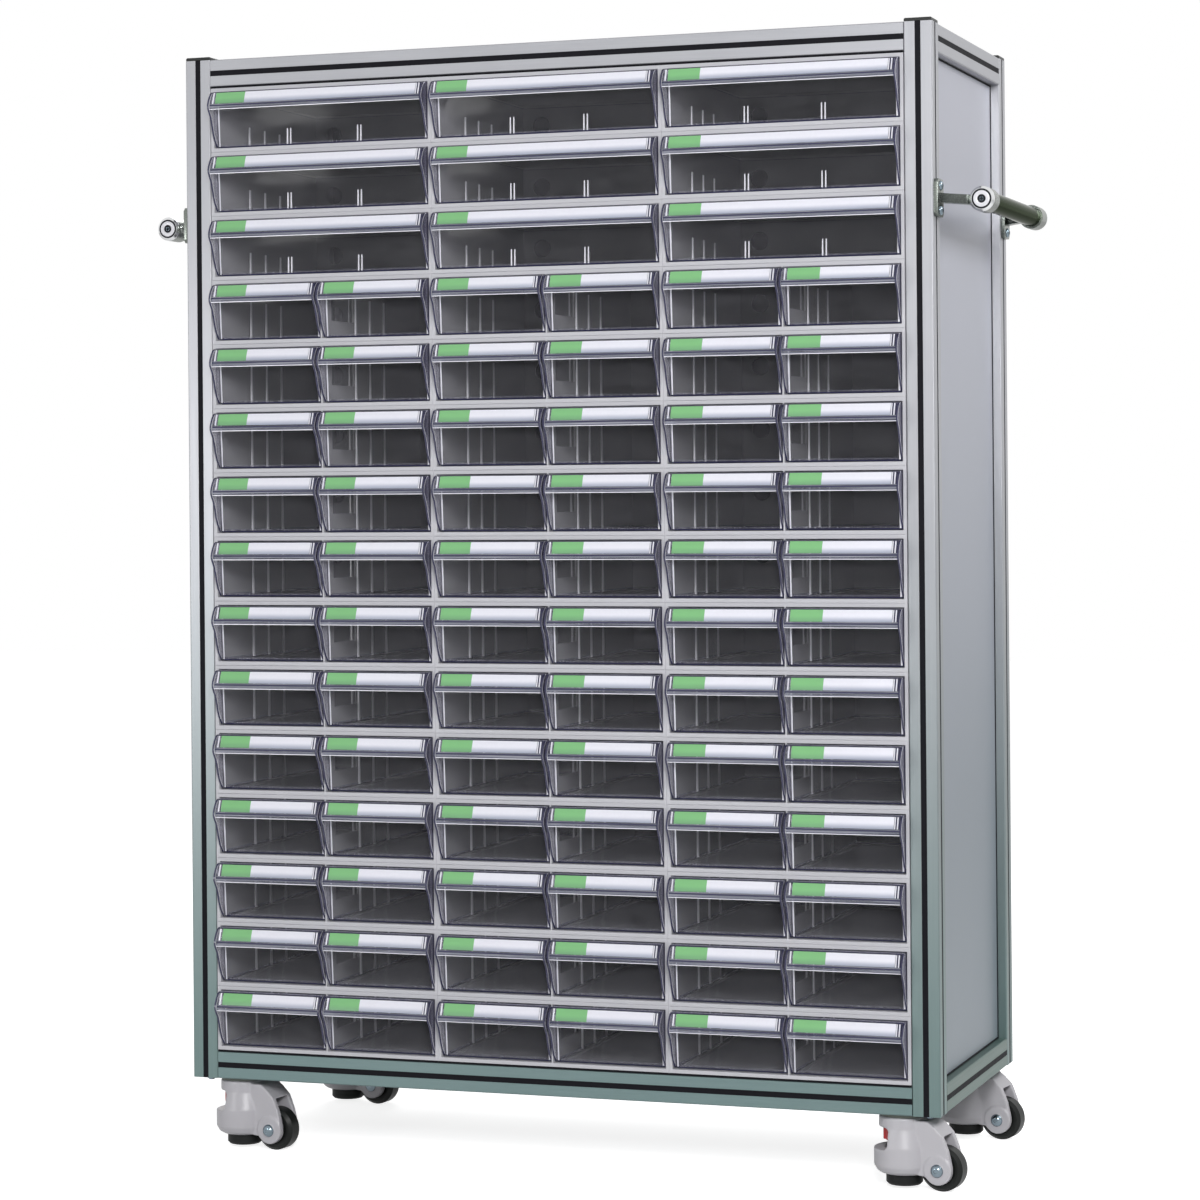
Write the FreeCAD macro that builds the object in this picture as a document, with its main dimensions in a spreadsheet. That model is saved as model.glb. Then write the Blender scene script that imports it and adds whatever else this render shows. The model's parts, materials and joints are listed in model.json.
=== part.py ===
"""Parts bin cabinet: an aluminium profile frame on four levelling castors, with three columns of
stacked drawer housings. The top three rows hold one wide clear drawer in each housing and the
twelve rows below hold two small ones. A tube handle stands out from each side.

Millimetres, Z up. The origin is on the floor, under the middle of everything."""

import os

import FreeCAD, Part
import Sketcher

doc = FreeCAD.newDocument("parts_bin_cabinet")

# Driving sizes. Lengths are in millimetres, names that end in count or degrees are not lengths.

DRIVING = {
    # stack of drawer housings
    "column_count": 3,
    "wide_row_count": 3,
    "small_row_count": 12,
    "block_row_count": 2,
    "module_width": 348.0,
    "module_height": 94.4,
    "module_wall": 2.5,
    "side_lip": 5.0,
    "level_lip": 5.8,
    "lip_depth": 10.0,
    "ledge_width": 8.0,
    "divider": 2.5,
    "back_space": 97.0,
    "back_hole": 27.0,
    "back_hole_side": 33.0,
    "back_hole_drop": 34.0,
    "window_near": 36.0,
    "window_far": 118.0,
    "window_low": 33.0,
    "window_high": 82.0,
    # frame of slotted square profile
    "frame_depth": 480.0,
    "floor_gap": 106.0,
    "profile": 40.0,
    "profile_edge": 1.5,
    "slot_mouth": 8.0,
    "slot_lip": 4.5,
    "slot_throat": 20.0,
    "slot_floor": 9.0,
    "slot_depth": 12.5,
    "core_bore": 6.8,
    "cover_thickness": 3.0,
    "cover_sink": 0.4,
    "cap_thickness": 5.0,
    "cap_inset": 0.5,
    "cap_bevel": 1.2,
    "stack_fit": 0.5,
    "head_gap": 2.0,
    "base_sheet": 2.0,
    "base_setback": 1.0,
    "base_overhang": 16.0,
    # panels
    "panel_recess": 14.0,
    "panel_sheet": 8.0,
    "panel_tongue": 4.0,
    "tongue_reach": 6.0,
    "panel_fit": 0.4,
    # drawers
    "drawer_wall": 2.2,
    "drawer_rest_gap": 0.3,
    "drawer_head_gap": 1.3,
    "drawer_side_gap": 0.8,
    "drawer_back_gap": 6.0,
    "nose_reach": 26.0,
    "nose_drop": 21.0,
    "nose_lip": 6.0,
    "label_setback": 7.0,
    # side handles
    "handle_reach": 56.0,
    "handle_drop": 242.0,
    "handle_setback": 51.0,
    "handle_tube": 28.0,
    "handle_tube_wall": 2.0,
    "ring_outer": 35.0,
    "ring_length": 34.0,
    "ring_fit": 0.1,
    "end_cap": 5.0,
    "end_cap_edge": 3.0,
    "end_socket": 18.0,
    "end_socket_depth": 1.2,
    "plate_width": 36.0,
    "plate_height": 52.0,
    "plate_thickness": 6.0,
    "plate_corner": 5.0,
    "plate_screw_pitch": 34.0,
    "arm_height": 13.0,
    "arm_width": 18.0,
    "screw_head": 14.0,
    "screw_head_height": 4.0,
    "cap_screw": 11.0,
    "cap_screw_height": 1.7,
    "post_bolt": 14.0,
    "post_bolt_height": 6.5,
    # levelling castors
    "castor_side": 62.0,
    "castor_front": 45.0,
    "castor_rest_degrees": -9.0,
    "castor_plate": 69.0,
    "castor_plate_thickness": 5.0,
    "swivel_gap": 0.5,
    "king_pin": 12.0,
    "king_pin_length": 11.0,
    "housing_top": 70.0,
    "housing_skirt": 84.0,
    "housing_bottom": 21.0,
    "skirt_mouth": 64.0,
    "skirt_foot": 32.0,
    "skirt_shoulder": 58.0,
    "neck_level": 84.0,
    "notch_low": 56.0,
    "notch_high": 84.5,
    "notch_depth": 10.0,
    "notch_corner": 4.0,
    "wheel": 62.0,
    "wheel_width": 27.0,
    "wheel_shoulder": 4.5,
    "wheel_hub": 24.0,
    "wheel_groove": 3.5,
    "wheel_rim": 9.0,
    "axle_trail": 58.5,
    "axle": 10.0,
    "axle_head": 17.0,
    "axle_head_height": 5.0,
    "running_gap": 0.4,
    "fork_width": 48.0,
    "fork_top": 97.0,
    "fork_well": 31.0,
    "boss": 40.0,
    "boss_width": 52.0,
    "foot": 51.0,
    "foot_gap": 1.0,
    "foot_lift": 5.0,
    "foot_top": 65.5,
    "foot_edge": 3.0,
    "foot_crown": 8.0,
    "foot_stem": 10.0,
    "thumbwheel": 58.0,
    "thumbwheel_low": 67.0,
    "thumbwheel_high": 82.0,
    "thumb_gap": 1.5,
    "thumb_notch": 11.0,
    "thumb_notch_count": 8,
    "cut_over": 5.0,
}

sheet = doc.addObject("Spreadsheet::Sheet", "Sizes")
for line, (alias, number) in enumerate(DRIVING.items(), start=1):
    sheet.set("A%d" % line, alias)
    sheet.set("B%d" % line, str(number))
    sheet.setAlias("B%d" % line, alias)
doc.recompute()


class Size:
    """A length that carries its number and the sheet expression that gives it."""

    def __init__(self, number, text):
        self.number = number
        self.text = text

    def join(self, other, sign, number):
        return Size(number, "(%s %s %s)" % (self.text, sign, size(other).text))

    def __add__(self, other):
        return self.join(other, "+", self.number + size(other).number)

    def __sub__(self, other):
        return self.join(other, "-", self.number - size(other).number)

    def __mul__(self, other):
        return self.join(other, "*", self.number * size(other).number)

    def __truediv__(self, other):
        return self.join(other, "/", self.number / size(other).number)

    def __neg__(self):
        return Size(-self.number, "(-%s)" % self.text)

    def __rmul__(self, other):
        return self * other


def size(value):
    return value if isinstance(value, Size) else Size(float(value), repr(float(value)))


def cell(alias):
    return Size(float(DRIVING[alias]), "Sizes.%s" % alias)


class Cells:
    """The driving sizes by name, so that a formula reads like a drawing note."""

    def __getattr__(self, alias):
        return cell(alias)


S = Cells()
ZERO = size(0)

COLUMNS = range(DRIVING["column_count"])
WIDE_ROWS = range(DRIVING["wide_row_count"])
SMALL_ROWS = range(DRIVING["wide_row_count"], DRIVING["wide_row_count"] + DRIVING["small_row_count"])

# Sizes that follow from the driving ones

frame_width = S.column_count * S.module_width + (S.profile + S.stack_fit) * 2
stack_height = (S.wide_row_count + S.small_row_count) * S.module_height
frame_height = stack_height + S.profile * 2 + S.base_sheet + S.head_gap
front_y = (S.nose_reach - S.frame_depth) / 2
rear_y = front_y + S.frame_depth
frame_top = S.floor_gap + frame_height
stack_low = S.floor_gap + S.profile + S.base_sheet
stack_high = stack_low + stack_height
module_depth = S.frame_depth - S.back_space
half_profile = S.profile / 2


# Helpers that draw and build

def bind(item, name, value):
    setattr(item, name, value.number)
    item.setExpression(name, value.text)


PLANES = {"XY": "XY_Plane", "XZ": "XZ_Plane", "YZ": "YZ_Plane"}

# Bodies whose split faces stay as the cuts leave them, because merging them spoils the solid
LEFT_SPLIT = {"castor_body"}


def pin(sketch, geometry, point, x, y):
    """Hold one point of the sketch at its place, measured from the sketch's origin."""
    for kind, value in (("DistanceX", x), ("DistanceY", y)):
        index = sketch.addConstraint(Sketcher.Constraint(kind, -1, 1, geometry, point, value.number))
        sketch.setExpression("Constraints[%d]" % index, value.text)


def draw(body, plane, level, outlines):
    """A sketch parallel to one origin plane. An outline is a list of points, or a circle's
    centre and radius."""
    sketch = body.newObject("Sketcher::SketchObject", "%s_sketch" % body.Name)
    origin_plane = [f for f in body.Origin.OriginFeatures if f.Role == PLANES[plane]]
    sketch.AttachmentSupport = [(origin_plane[0], "")]
    sketch.MapMode = "FlatFace"
    sketch.AttachmentOffset = FreeCAD.Placement(FreeCAD.Vector(0, 0, level.number), FreeCAD.Rotation())
    sketch.setExpression(".AttachmentOffset.Base.z", level.text)
    for outline in outlines:
        if isinstance(outline, dict):
            (x, y), radius = outline["centre"], outline["radius"]
            centre = FreeCAD.Vector(x.number, y.number, 0)
            ring = sketch.addGeometry(Part.Circle(centre, FreeCAD.Vector(0, 0, 1), radius.number))
            pin(sketch, ring, 3, x, y)
            index = sketch.addConstraint(Sketcher.Constraint("Radius", ring, radius.number))
            sketch.setExpression("Constraints[%d]" % index, radius.text)
            continue
        points = [(size(x), size(y)) for x, y in outline]
        corners = [FreeCAD.Vector(x.number, y.number, 0) for x, y in points]
        following = corners[1:] + corners[:1]
        edges = [sketch.addGeometry(Part.LineSegment(a, b)) for a, b in zip(corners, following)]
        for edge, after in zip(edges, edges[1:] + edges[:1]):
            sketch.addConstraint(Sketcher.Constraint("Coincident", edge, 2, after, 1))
        for edge, (x, y) in zip(edges, points):
            pin(sketch, edge, 1, x, y)
    return sketch


def add(body, plane, low, high, *outlines):
    """Fill the outlines from low to high along the plane's own axis."""
    level = -high if plane == "XZ" else low
    feature = body.newObject("PartDesign::Pad", "%s_pad" % body.Name)
    feature.Profile = draw(body, plane, level, outlines)
    feature.Refine = body.Name not in LEFT_SPLIT
    bind(feature, "Length", high - low)
    body.Tip = feature
    return feature


def cut(body, plane, low, high, *outlines):
    """Take the outlines away from low to high along the plane's own axis."""
    doc.recompute()
    before = body.Shape.Volume
    level = -low if plane == "XZ" else high
    feature = body.newObject("PartDesign::Pocket", "%s_pocket" % body.Name)
    feature.Profile = draw(body, plane, level, outlines)
    feature.Refine = body.Name not in LEFT_SPLIT
    bind(feature, "Length", high - low)
    body.Tip = feature
    doc.recompute()
    if not 0 < body.Shape.Volume < before or not body.Shape.isValid():
        raise RuntimeError("a pocket in %s takes nothing, or too much, away" % body.Name)
    return feature


def turn(body, plane, outline, around="V_Axis"):
    """A solid of revolution about the sketch's own upright or level axis."""
    feature = body.newObject("PartDesign::Revolution", "%s_turned" % body.Name)
    sketch = draw(body, plane, ZERO, [outline])
    feature.Profile = sketch
    feature.ReferenceAxis = (sketch, [around])
    feature.Angle = 360
    body.Tip = feature
    return feature


def new_body(name):
    return doc.addObject("PartDesign::Body", name)


def circle(x, y, diameter):
    return {"centre": (size(x), size(y)), "radius": diameter / 2}


def rectangle(left, right, low, high):
    return [(left, low), (right, low), (right, high), (left, high)]


def at(x, y, z, rotation=None):
    x, y, z = (size(value).number for value in (x, y, z))
    return FreeCAD.Placement(FreeCAD.Vector(x, y, z), rotation or FreeCAD.Rotation())


def about(axis, degrees):
    return FreeCAD.Rotation(FreeCAD.Vector(*axis), degrees)


ALONG_X, ALONG_Y, ALONG_Z = (1, 0, 0), (0, 1, 0), (0, 0, 1)
HALF_TURN, QUARTER_TURN = 180, 90

NODES = []


def node(label, *pieces):
    """One named sub-part: a copy of each source solid at each of its places."""
    solids = []
    for source, places in pieces:
        for place in places:
            solid = source.Shape.copy()
            solid.Placement = place.multiply(solid.Placement)
            solids.append(solid)
    item = doc.addObject("Part::Feature", label)
    item.Label = label
    item.Shape = solids[0] if len(solids) == 1 else Part.makeCompound(solids)
    NODES.append(item)


# Frame of slotted profile

def profile_outline():
    """The square section, with a slot that widens behind its mouth in each of the four sides."""
    edge, mouth = half_profile, S.slot_mouth / 2
    side = [
        (edge, -edge + S.profile_edge),
        (edge, -mouth),
        (edge - S.slot_lip, -mouth),
        (edge - S.slot_lip, -S.slot_throat / 2),
        (edge - S.slot_depth, -S.slot_floor / 2),
        (edge - S.slot_depth, S.slot_floor / 2),
        (edge - S.slot_lip, S.slot_throat / 2),
        (edge - S.slot_lip, mouth),
        (edge, mouth),
        (edge, edge - S.profile_edge),
    ]
    points = []
    for _ in range(4):
        points += side
        side = [(-y, x) for x, y in side]
    return points


def slotted_bar(name, length):
    body = new_body(name)
    add(body, "XY", ZERO, length, profile_outline(), circle(ZERO, ZERO, S.core_bore))
    return body


def strip(name, length):
    """The flat cover that is pressed into a slot's mouth."""
    box = doc.addObject("Part::Box", name)
    bind(box, "Length", S.slot_mouth)
    bind(box, "Width", S.cover_thickness)
    bind(box, "Height", length)
    return box


post_bar = slotted_bar("post_bar", frame_height)
cross_bar = slotted_bar("cross_bar", frame_width - S.profile * 2)
side_bar = slotted_bar("side_bar", S.frame_depth - S.profile * 2)

post_strip = strip("post_strip", frame_height)
cross_strip = strip("cross_strip", frame_width - S.profile * 2)
side_strip = strip("side_strip", S.frame_depth - S.profile * 2)

cap_body = new_body("cap_body")
cap_half = half_profile - S.cap_inset
cap_block = add(cap_body, "XY", ZERO, S.cap_thickness, rectangle(-cap_half, cap_half, -cap_half, cap_half))
doc.recompute()
heights = [face.CenterOfMass.z for face in cap_block.Shape.Faces]
cap_edge = cap_body.newObject("PartDesign::Chamfer", "cap_edge")
cap_edge.Base = (cap_block, ["Face%d" % (heights.index(max(heights)) + 1)])
bind(cap_edge, "Size", S.cap_bevel)
cap_body.Tip = cap_edge

side_x = frame_width / 2
post_x = side_x - half_profile
post_front = front_y + half_profile
post_rear = rear_y - half_profile
rail_low = S.floor_gap + half_profile
rail_high = frame_top - half_profile
lay_along_x = about(ALONG_Y, QUARTER_TURN)
lay_along_y = about(ALONG_X, -QUARTER_TURN)

post_places = [at(x, y, S.floor_gap) for x in (-post_x, post_x) for y in (post_front, post_rear)]
doc.recompute()
node("corner_posts", (post_bar, post_places))
node("cross_rails", (cross_bar, [
    at(-side_x + S.profile, y, z, lay_along_x)
    for y in (post_front, post_rear) for z in (rail_low, rail_high)]))
node("side_rails", (side_bar, [
    at(x, front_y + S.profile, z, lay_along_y)
    for x in (-post_x, post_x) for z in (rail_low, rail_high)]))
node("post_caps", (cap_body, [
    at(x, y, frame_top) for x in (-post_x, post_x) for y in (post_front, post_rear)]))

# A strip's own frame has the mouth across X, its face at the lower Y and its length up Z
mouth_half = S.slot_mouth / 2
face_right = about(ALONG_Z, QUARTER_TURN)
face_left = about(ALONG_Z, -QUARTER_TURN)
sunk = S.cover_sink
post_strip_places = [at(x - mouth_half, front_y + sunk, S.floor_gap) for x in (-post_x, post_x)]
post_strip_places += [at(side_x - sunk, y - mouth_half, S.floor_gap, face_right)
                      for y in (post_front, post_rear)]
post_strip_places += [at(-side_x + sunk, y + mouth_half, S.floor_gap, face_left)
                      for y in (post_front, post_rear)]
cross_strip_places = [at(-side_x + S.profile, front_y + sunk, z + mouth_half, lay_along_x)
                      for z in (rail_low, rail_high)]
lay_right = lay_along_y.multiply(face_right)
lay_left = lay_along_y.multiply(face_left)
side_strip_places = [at(side_x - sunk, front_y + S.profile, z + mouth_half, lay_right)
                     for z in (rail_low, rail_high)]
side_strip_places += [at(-side_x + sunk, front_y + S.profile, z - mouth_half, lay_left)
                      for z in (rail_low, rail_high)]
node("slot_covers", (post_strip, post_strip_places), (cross_strip, cross_strip_places),
     (side_strip, side_strip_places))


# Panels, each a sheet with a tongue that sits in the slots around it

def panel(name, plane, outer, inner, across, up, tongue_up=True):
    """A sheet between the levels outer and inner, with a thinner tongue beyond its edges."""
    body = new_body(name)
    (left, right), (low, high) = across, up
    fit, reach = S.panel_fit, S.tongue_reach
    add(body, plane, outer, inner, rectangle(left + fit, right - fit, low + fit, high - fit))
    middle = (outer + inner) / 2
    rise = reach if tongue_up else -fit
    add(body, plane, middle - S.panel_tongue / 2, middle + S.panel_tongue / 2,
        rectangle(left - reach, right + reach, low - rise, high + rise))
    return body


bay_y = (front_y + S.profile, rear_y - S.profile)
bay_z = (S.floor_gap + S.profile, frame_top - S.profile)
bay_x = (-side_x + S.profile, side_x - S.profile)
sheet_in = S.panel_recess + S.panel_sheet

right_panel = panel("right_panel", "YZ", side_x - sheet_in, side_x - S.panel_recess, bay_y, bay_z)
left_panel = panel("left_panel", "YZ", -side_x + S.panel_recess, -side_x + sheet_in, bay_y, bay_z)
rear_panel = panel("rear_panel", "XZ", rear_y - sheet_in, rear_y - S.panel_recess, bay_x, bay_z)
roof_panel = panel("roof_panel", "XY", frame_top - sheet_in, frame_top - S.panel_recess, bay_x, bay_y,
                   tongue_up=False)

base = new_body("base")
add(base, "XY", S.floor_gap + S.profile, stack_low,
    rectangle(bay_x[0] + S.panel_fit, bay_x[1] - S.panel_fit,
              front_y + S.base_setback, rear_y - S.profile + S.base_overhang))
doc.recompute()
node("right_side_panel", (right_panel, [at(0, 0, 0)]))
node("left_side_panel", (left_panel, [at(0, 0, 0)]))
node("back_panel", (rear_panel, [at(0, 0, 0)]))
node("top_panel", (roof_panel, [at(0, 0, 0)]))
node("base_panel", (base, [at(0, 0, 0)]))


# Drawer housings. A housing's own frame has its front lip at Y 0 and its foot at Z 0.

half_module = S.module_width / 2
cell_low = S.level_lip
cell_high = S.module_height - S.level_lip


def housing(name, cells, holes=()):
    """One moulded housing, open in front, with a cell for each drawer between left and right and
    round holes in its back wall."""
    body = new_body(name)
    add(body, "XZ", ZERO, module_depth, rectangle(-half_module, half_module, ZERO, S.module_height))
    lip_to_wall = S.side_lip - S.module_wall
    for left, right in cells:
        cut(body, "XZ", -S.cut_over, S.lip_depth, rectangle(left, right, cell_low, cell_high))
        spread_left = left - lip_to_wall if left.number < -half_module.number / 2 else left
        spread_right = right + lip_to_wall if right.number > half_module.number / 2 else right
        floor_left, floor_right = spread_left + S.ledge_width, spread_right - S.ledge_width
        cut(body, "XZ", S.lip_depth, module_depth - S.module_wall, [
            (spread_left, cell_low), (floor_left, cell_low),
            (floor_left, S.module_wall), (floor_right, S.module_wall),
            (floor_right, cell_low), (spread_right, cell_low),
            (spread_right, S.module_height - S.module_wall),
            (spread_left, S.module_height - S.module_wall)])
    for x in holes:
        cut(body, "XZ", module_depth - S.module_wall - S.cut_over, module_depth + S.cut_over,
            circle(x, S.module_height - S.back_hole_drop, S.back_hole))
    return body


def drawer_height():
    return cell_high - cell_low - S.drawer_rest_gap - S.drawer_head_gap


def drawer(name, width):
    """A clear drawer. Its label face leans out over a finger grip between the two cheeks."""
    body = new_body(name)
    tall = drawer_height()
    long = module_depth - S.module_wall - S.drawer_back_gap
    wall, half = S.drawer_wall, width / 2
    nose_low = tall - S.nose_drop - S.nose_lip
    add(body, "YZ", -half, half, [
        (ZERO, ZERO), (long, ZERO), (long, tall), (-S.label_setback, tall),
        (-S.nose_reach, tall - S.nose_drop), (-S.nose_reach, nose_low)])
    cut(body, "XY", wall, tall + S.cut_over, rectangle(-half + wall, half - wall, wall, long - wall))
    out = -S.nose_reach - S.cut_over
    cut(body, "YZ", -half + wall, half - wall, [
        (ZERO, -S.cut_over), (ZERO, tall - wall), (-S.label_setback, tall - wall),
        (-S.nose_reach + wall, tall - S.nose_drop - wall / 2), (-S.nose_reach + wall, nose_low),
        (out, nose_low), (out, -S.cut_over)])
    return body


opening_half = half_module - S.side_lip
small_cell = (opening_half - S.divider / 2)
wide_width = opening_half * 2 - S.drawer_side_gap * 2
small_width = small_cell - S.drawer_side_gap * 2
small_offset = S.divider / 2 + small_cell / 2

wide_housing = housing("wide_housing", [(-opening_half, opening_half)],
                       holes=[-half_module + S.back_hole_side])
small_housing = housing("small_housing", [(-opening_half, -S.divider / 2), (S.divider / 2, opening_half)],
                        holes=[-half_module + S.back_hole_side])
cut(small_housing, "YZ", -S.divider, S.divider, rectangle(
    S.window_near, S.window_far, S.window_low, S.window_high))
wide_drawer = drawer("wide_drawer", wide_width)
small_drawer = drawer("small_drawer", small_width)
doc.recompute()


def column_x(column):
    return (size(column) - (S.column_count - 1) / 2) * S.module_width


def row_z(row):
    return stack_high - size(row + 1) * S.module_height


def drawer_place(column, row, offset):
    return at(column_x(column) + offset, front_y, row_z(row) + cell_low + S.drawer_rest_gap)


node("wide_drawer_housings", (wide_housing, [
    at(column_x(c), front_y, row_z(r)) for r in WIDE_ROWS for c in COLUMNS]))
node("small_drawer_housings", (small_housing, [
    at(column_x(c), front_y, row_z(r)) for r in SMALL_ROWS for c in COLUMNS]))

COLUMN_NAMES = ["left", "middle", "right"]
for column in COLUMNS:
    for row in WIDE_ROWS:
        node("wide_drawer_row_%d_%s" % (row + 1, COLUMN_NAMES[column]),
             (wide_drawer, [drawer_place(column, row, ZERO)]))
    for first in SMALL_ROWS[::DRIVING["block_row_count"]]:
        block = range(first, first + DRIVING["block_row_count"])
        label = "small_drawers_rows_%d_to_%d_%s" % (block[0] + 1, block[-1] + 1, COLUMN_NAMES[column])
        node(label, (small_drawer, [
            drawer_place(column, row, offset) for row in block for offset in (-small_offset, small_offset)]))


# Side handles. The bracket's own frame has the post's outer face at X 0 and its front at Y 0.

tube_start = S.handle_setback + S.end_cap
ring_end = tube_start + S.ring_length

bracket = new_body("bracket")
plate_left, plate_right = half_profile - S.plate_width / 2, half_profile + S.plate_width / 2
plate_top = S.plate_height / 2
corner = S.plate_corner
add(bracket, "YZ", ZERO, S.plate_thickness, [
    (plate_left + corner, -plate_top), (plate_right - corner, -plate_top),
    (plate_right, -plate_top + corner), (plate_right, plate_top - corner),
    (plate_right - corner, plate_top), (plate_left + corner, plate_top),
    (plate_left, plate_top - corner), (plate_left, -plate_top + corner)])
arm_root = half_profile - S.arm_width / 2
add(bracket, "XY", -S.arm_height / 2, S.arm_height / 2, [
    (S.plate_thickness / 2, arm_root), (S.plate_thickness / 2, arm_root + S.arm_width),
    (S.handle_reach - S.ring_outer / 4, ring_end), (S.handle_reach, ring_end),
    (S.handle_reach, tube_start), (S.handle_reach - S.ring_outer / 2, tube_start)])
add(bracket, "XZ", tube_start, ring_end, circle(S.handle_reach, ZERO, S.ring_outer))
cut(bracket, "XZ", tube_start - S.cut_over, ring_end + S.cut_over,
    circle(S.handle_reach, ZERO, S.handle_tube + S.ring_fit * 2))

tube = new_body("tube")
add(tube, "XZ", tube_start, S.frame_depth - tube_start, circle(S.handle_reach, ZERO, S.handle_tube),
    circle(S.handle_reach, ZERO, S.handle_tube - S.handle_tube_wall * 2))

end_cap = new_body("end_cap")
cap_radius = S.ring_outer / 2
socket = S.end_socket / 2
turn(end_cap, "XY", [
    (ZERO, S.end_socket_depth), (socket, S.end_socket_depth), (socket + S.end_socket_depth, ZERO),
    (cap_radius - S.end_cap_edge, ZERO), (cap_radius, S.end_cap_edge), (cap_radius, S.end_cap),
    (ZERO, S.end_cap)])


def button_head(name, diameter, height):
    """A screw's domed head, standing on its flat at Z 0."""
    body = new_body(name)
    radius = diameter / 2
    turn(body, "XZ", [(ZERO, ZERO), (radius, ZERO), (radius, height / 3), (radius * 2 / 3, height),
                      (ZERO, height)])
    return body


bracket_screw = button_head("bracket_screw", S.screw_head, S.screw_head_height)
cap_screw = button_head("cap_screw", S.cap_screw, S.cap_screw_height)
post_bolt = button_head("post_bolt", S.post_bolt, S.post_bolt_height)
doc.recompute()

# The right front bracket is the pattern. The others are half turns of it about the cabinet's middle.
middle_y = (front_y + rear_y) / 2
centre = at(0, middle_y, frame_top - S.handle_drop)
quarters = [about(ALONG_Z, 0), about(ALONG_X, HALF_TURN), about(ALONG_Z, HALF_TURN), about(ALONG_Y, HALF_TURN)]


def four_ways(local):
    """The four places of a handle piece that is given in the right front bracket's frame."""
    shift = at(side_x, front_y - middle_y, 0)
    return [centre.multiply(FreeCAD.Placement(FreeCAD.Vector(), way)).multiply(shift).multiply(local)
            for way in quarters]


doc.recompute()
node("handle_brackets", (bracket, four_ways(at(0, 0, 0))))
node("handle_tubes", (tube, four_ways(at(0, 0, 0))[::2]))
node("handle_end_caps", (end_cap, four_ways(at(S.handle_reach, S.handle_setback, 0))))
outward = about(ALONG_Y, QUARTER_TURN)
frontward = about(ALONG_X, QUARTER_TURN)
screw_places = []
for level in (-S.plate_screw_pitch / 2, S.plate_screw_pitch / 2):
    screw_places += four_ways(at(S.plate_thickness, half_profile, level, outward))
cap_screw_places = four_ways(at(S.handle_reach, S.handle_setback + S.end_socket_depth, 0, frontward))
bolt_places = [at(x, y, S.floor_gap, about(ALONG_X, HALF_TURN))
               for x in (-post_x, post_x) for y in (post_front, post_rear)]
node("fasteners", (bracket_screw, screw_places), (cap_screw, cap_screw_places), (post_bolt, bolt_places))


# Levelling castors. Each stands on its wheel, trailing towards +X before its rest turn, with the
# foot's thumbwheel in the notch on the other side. Its own frame has the swivel's axis at X 0, Y 0.

plate_low = S.floor_gap - S.castor_plate_thickness
castor_head = new_body("castor_head")
add(castor_head, "XY", plate_low, S.floor_gap, circle(ZERO, ZERO, S.castor_plate))
add(castor_head, "XY", plate_low - S.king_pin_length, plate_low, circle(ZERO, ZERO, S.king_pin))

housing_high = plate_low - S.swivel_gap
top_radius, skirt_radius = S.housing_top / 2, S.housing_skirt / 2
axle_level = S.wheel / 2
fork_half = S.fork_width / 2
foot_bore = S.foot + S.foot_gap * 2
thumb_bore = S.thumbwheel + S.thumb_gap * 2

# Shares of the wheel's radius and of the fork's rise, from the axle, that shape the fork's sweep
FORK_SWEEP_SHARES = [(-0.2, 0.9), (0.2, 0.72), (0.47, 0.42), (0.63, 0.1)]

castor_body = new_body("castor_body")
turn(castor_body, "XZ", [
    (ZERO, S.housing_bottom), (S.skirt_mouth / 2, S.housing_bottom),
    (skirt_radius - S.notch_corner, (S.housing_bottom * 2 + S.skirt_foot) / 3),
    (skirt_radius, S.skirt_foot), (skirt_radius, S.skirt_shoulder), (top_radius, S.neck_level),
    (top_radius, housing_high - S.notch_corner / 2), (top_radius - S.notch_corner / 2, housing_high),
    (ZERO, housing_high)])
fork_rise = S.fork_top - axle_level
fork_outline = [(ZERO, S.housing_bottom + S.notch_corner), (ZERO, S.fork_top),
                (S.axle_trail - S.wheel / 4, S.fork_top)]
fork_outline += [(S.axle_trail + S.wheel / 2 * across, axle_level + fork_rise * up)
                 for across, up in FORK_SWEEP_SHARES]
fork_outline += [(S.axle_trail + S.boss / 2, axle_level), (S.axle_trail, axle_level - S.boss / 2),
                 (S.axle_trail - S.boss / 2, S.housing_bottom)]
add(castor_body, "XZ", -fork_half, fork_half, fork_outline)
add(castor_body, "XZ", -S.boss_width / 2, S.boss_width / 2, circle(S.axle_trail, axle_level, S.boss))
cut(castor_body, "XY", plate_low - S.king_pin_length - S.swivel_gap, housing_high + S.cut_over,
    circle(ZERO, ZERO, S.king_pin + S.running_gap * 2))
cut(castor_body, "XY", S.housing_bottom - S.cut_over, S.thumbwheel_low - S.swivel_gap,
    circle(ZERO, ZERO, foot_bore))
cut(castor_body, "XY", S.thumbwheel_low - S.swivel_gap, S.thumbwheel_high + S.swivel_gap,
    circle(ZERO, ZERO, thumb_bore))
well_half = S.fork_well / 2
well_left = S.axle_trail - S.wheel / 2 - S.foot_gap * 3
well_far = S.axle_trail + S.wheel / 2 + S.cut_over
well = [(well_left, -S.cut_over)]
well += [(well_left, axle_level + S.wheel / 4), (S.axle_trail - S.wheel / 4, axle_level + S.wheel * 3 / 5)]
well += [(S.axle_trail - S.wheel / 8, axle_level + S.wheel * 4 / 5), (well_far, axle_level + S.wheel * 3 / 5),
         (well_far, -S.cut_over)]
cut(castor_body, "XZ", -well_half, well_half, well)
notch_out = -skirt_radius - S.cut_over
notch_in = -S.notch_depth
cut(castor_body, "XZ", -skirt_radius - S.cut_over, skirt_radius + S.cut_over, [
    (notch_out, S.notch_low), (notch_in - S.notch_corner, S.notch_low),
    (notch_in, S.notch_low + S.notch_corner), (notch_in, S.notch_high - S.notch_corner),
    (notch_in - S.notch_corner, S.notch_high), (-top_radius + S.notch_corner / 2, S.notch_high),
    (notch_out, S.notch_high + S.notch_corner * 3)])
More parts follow.
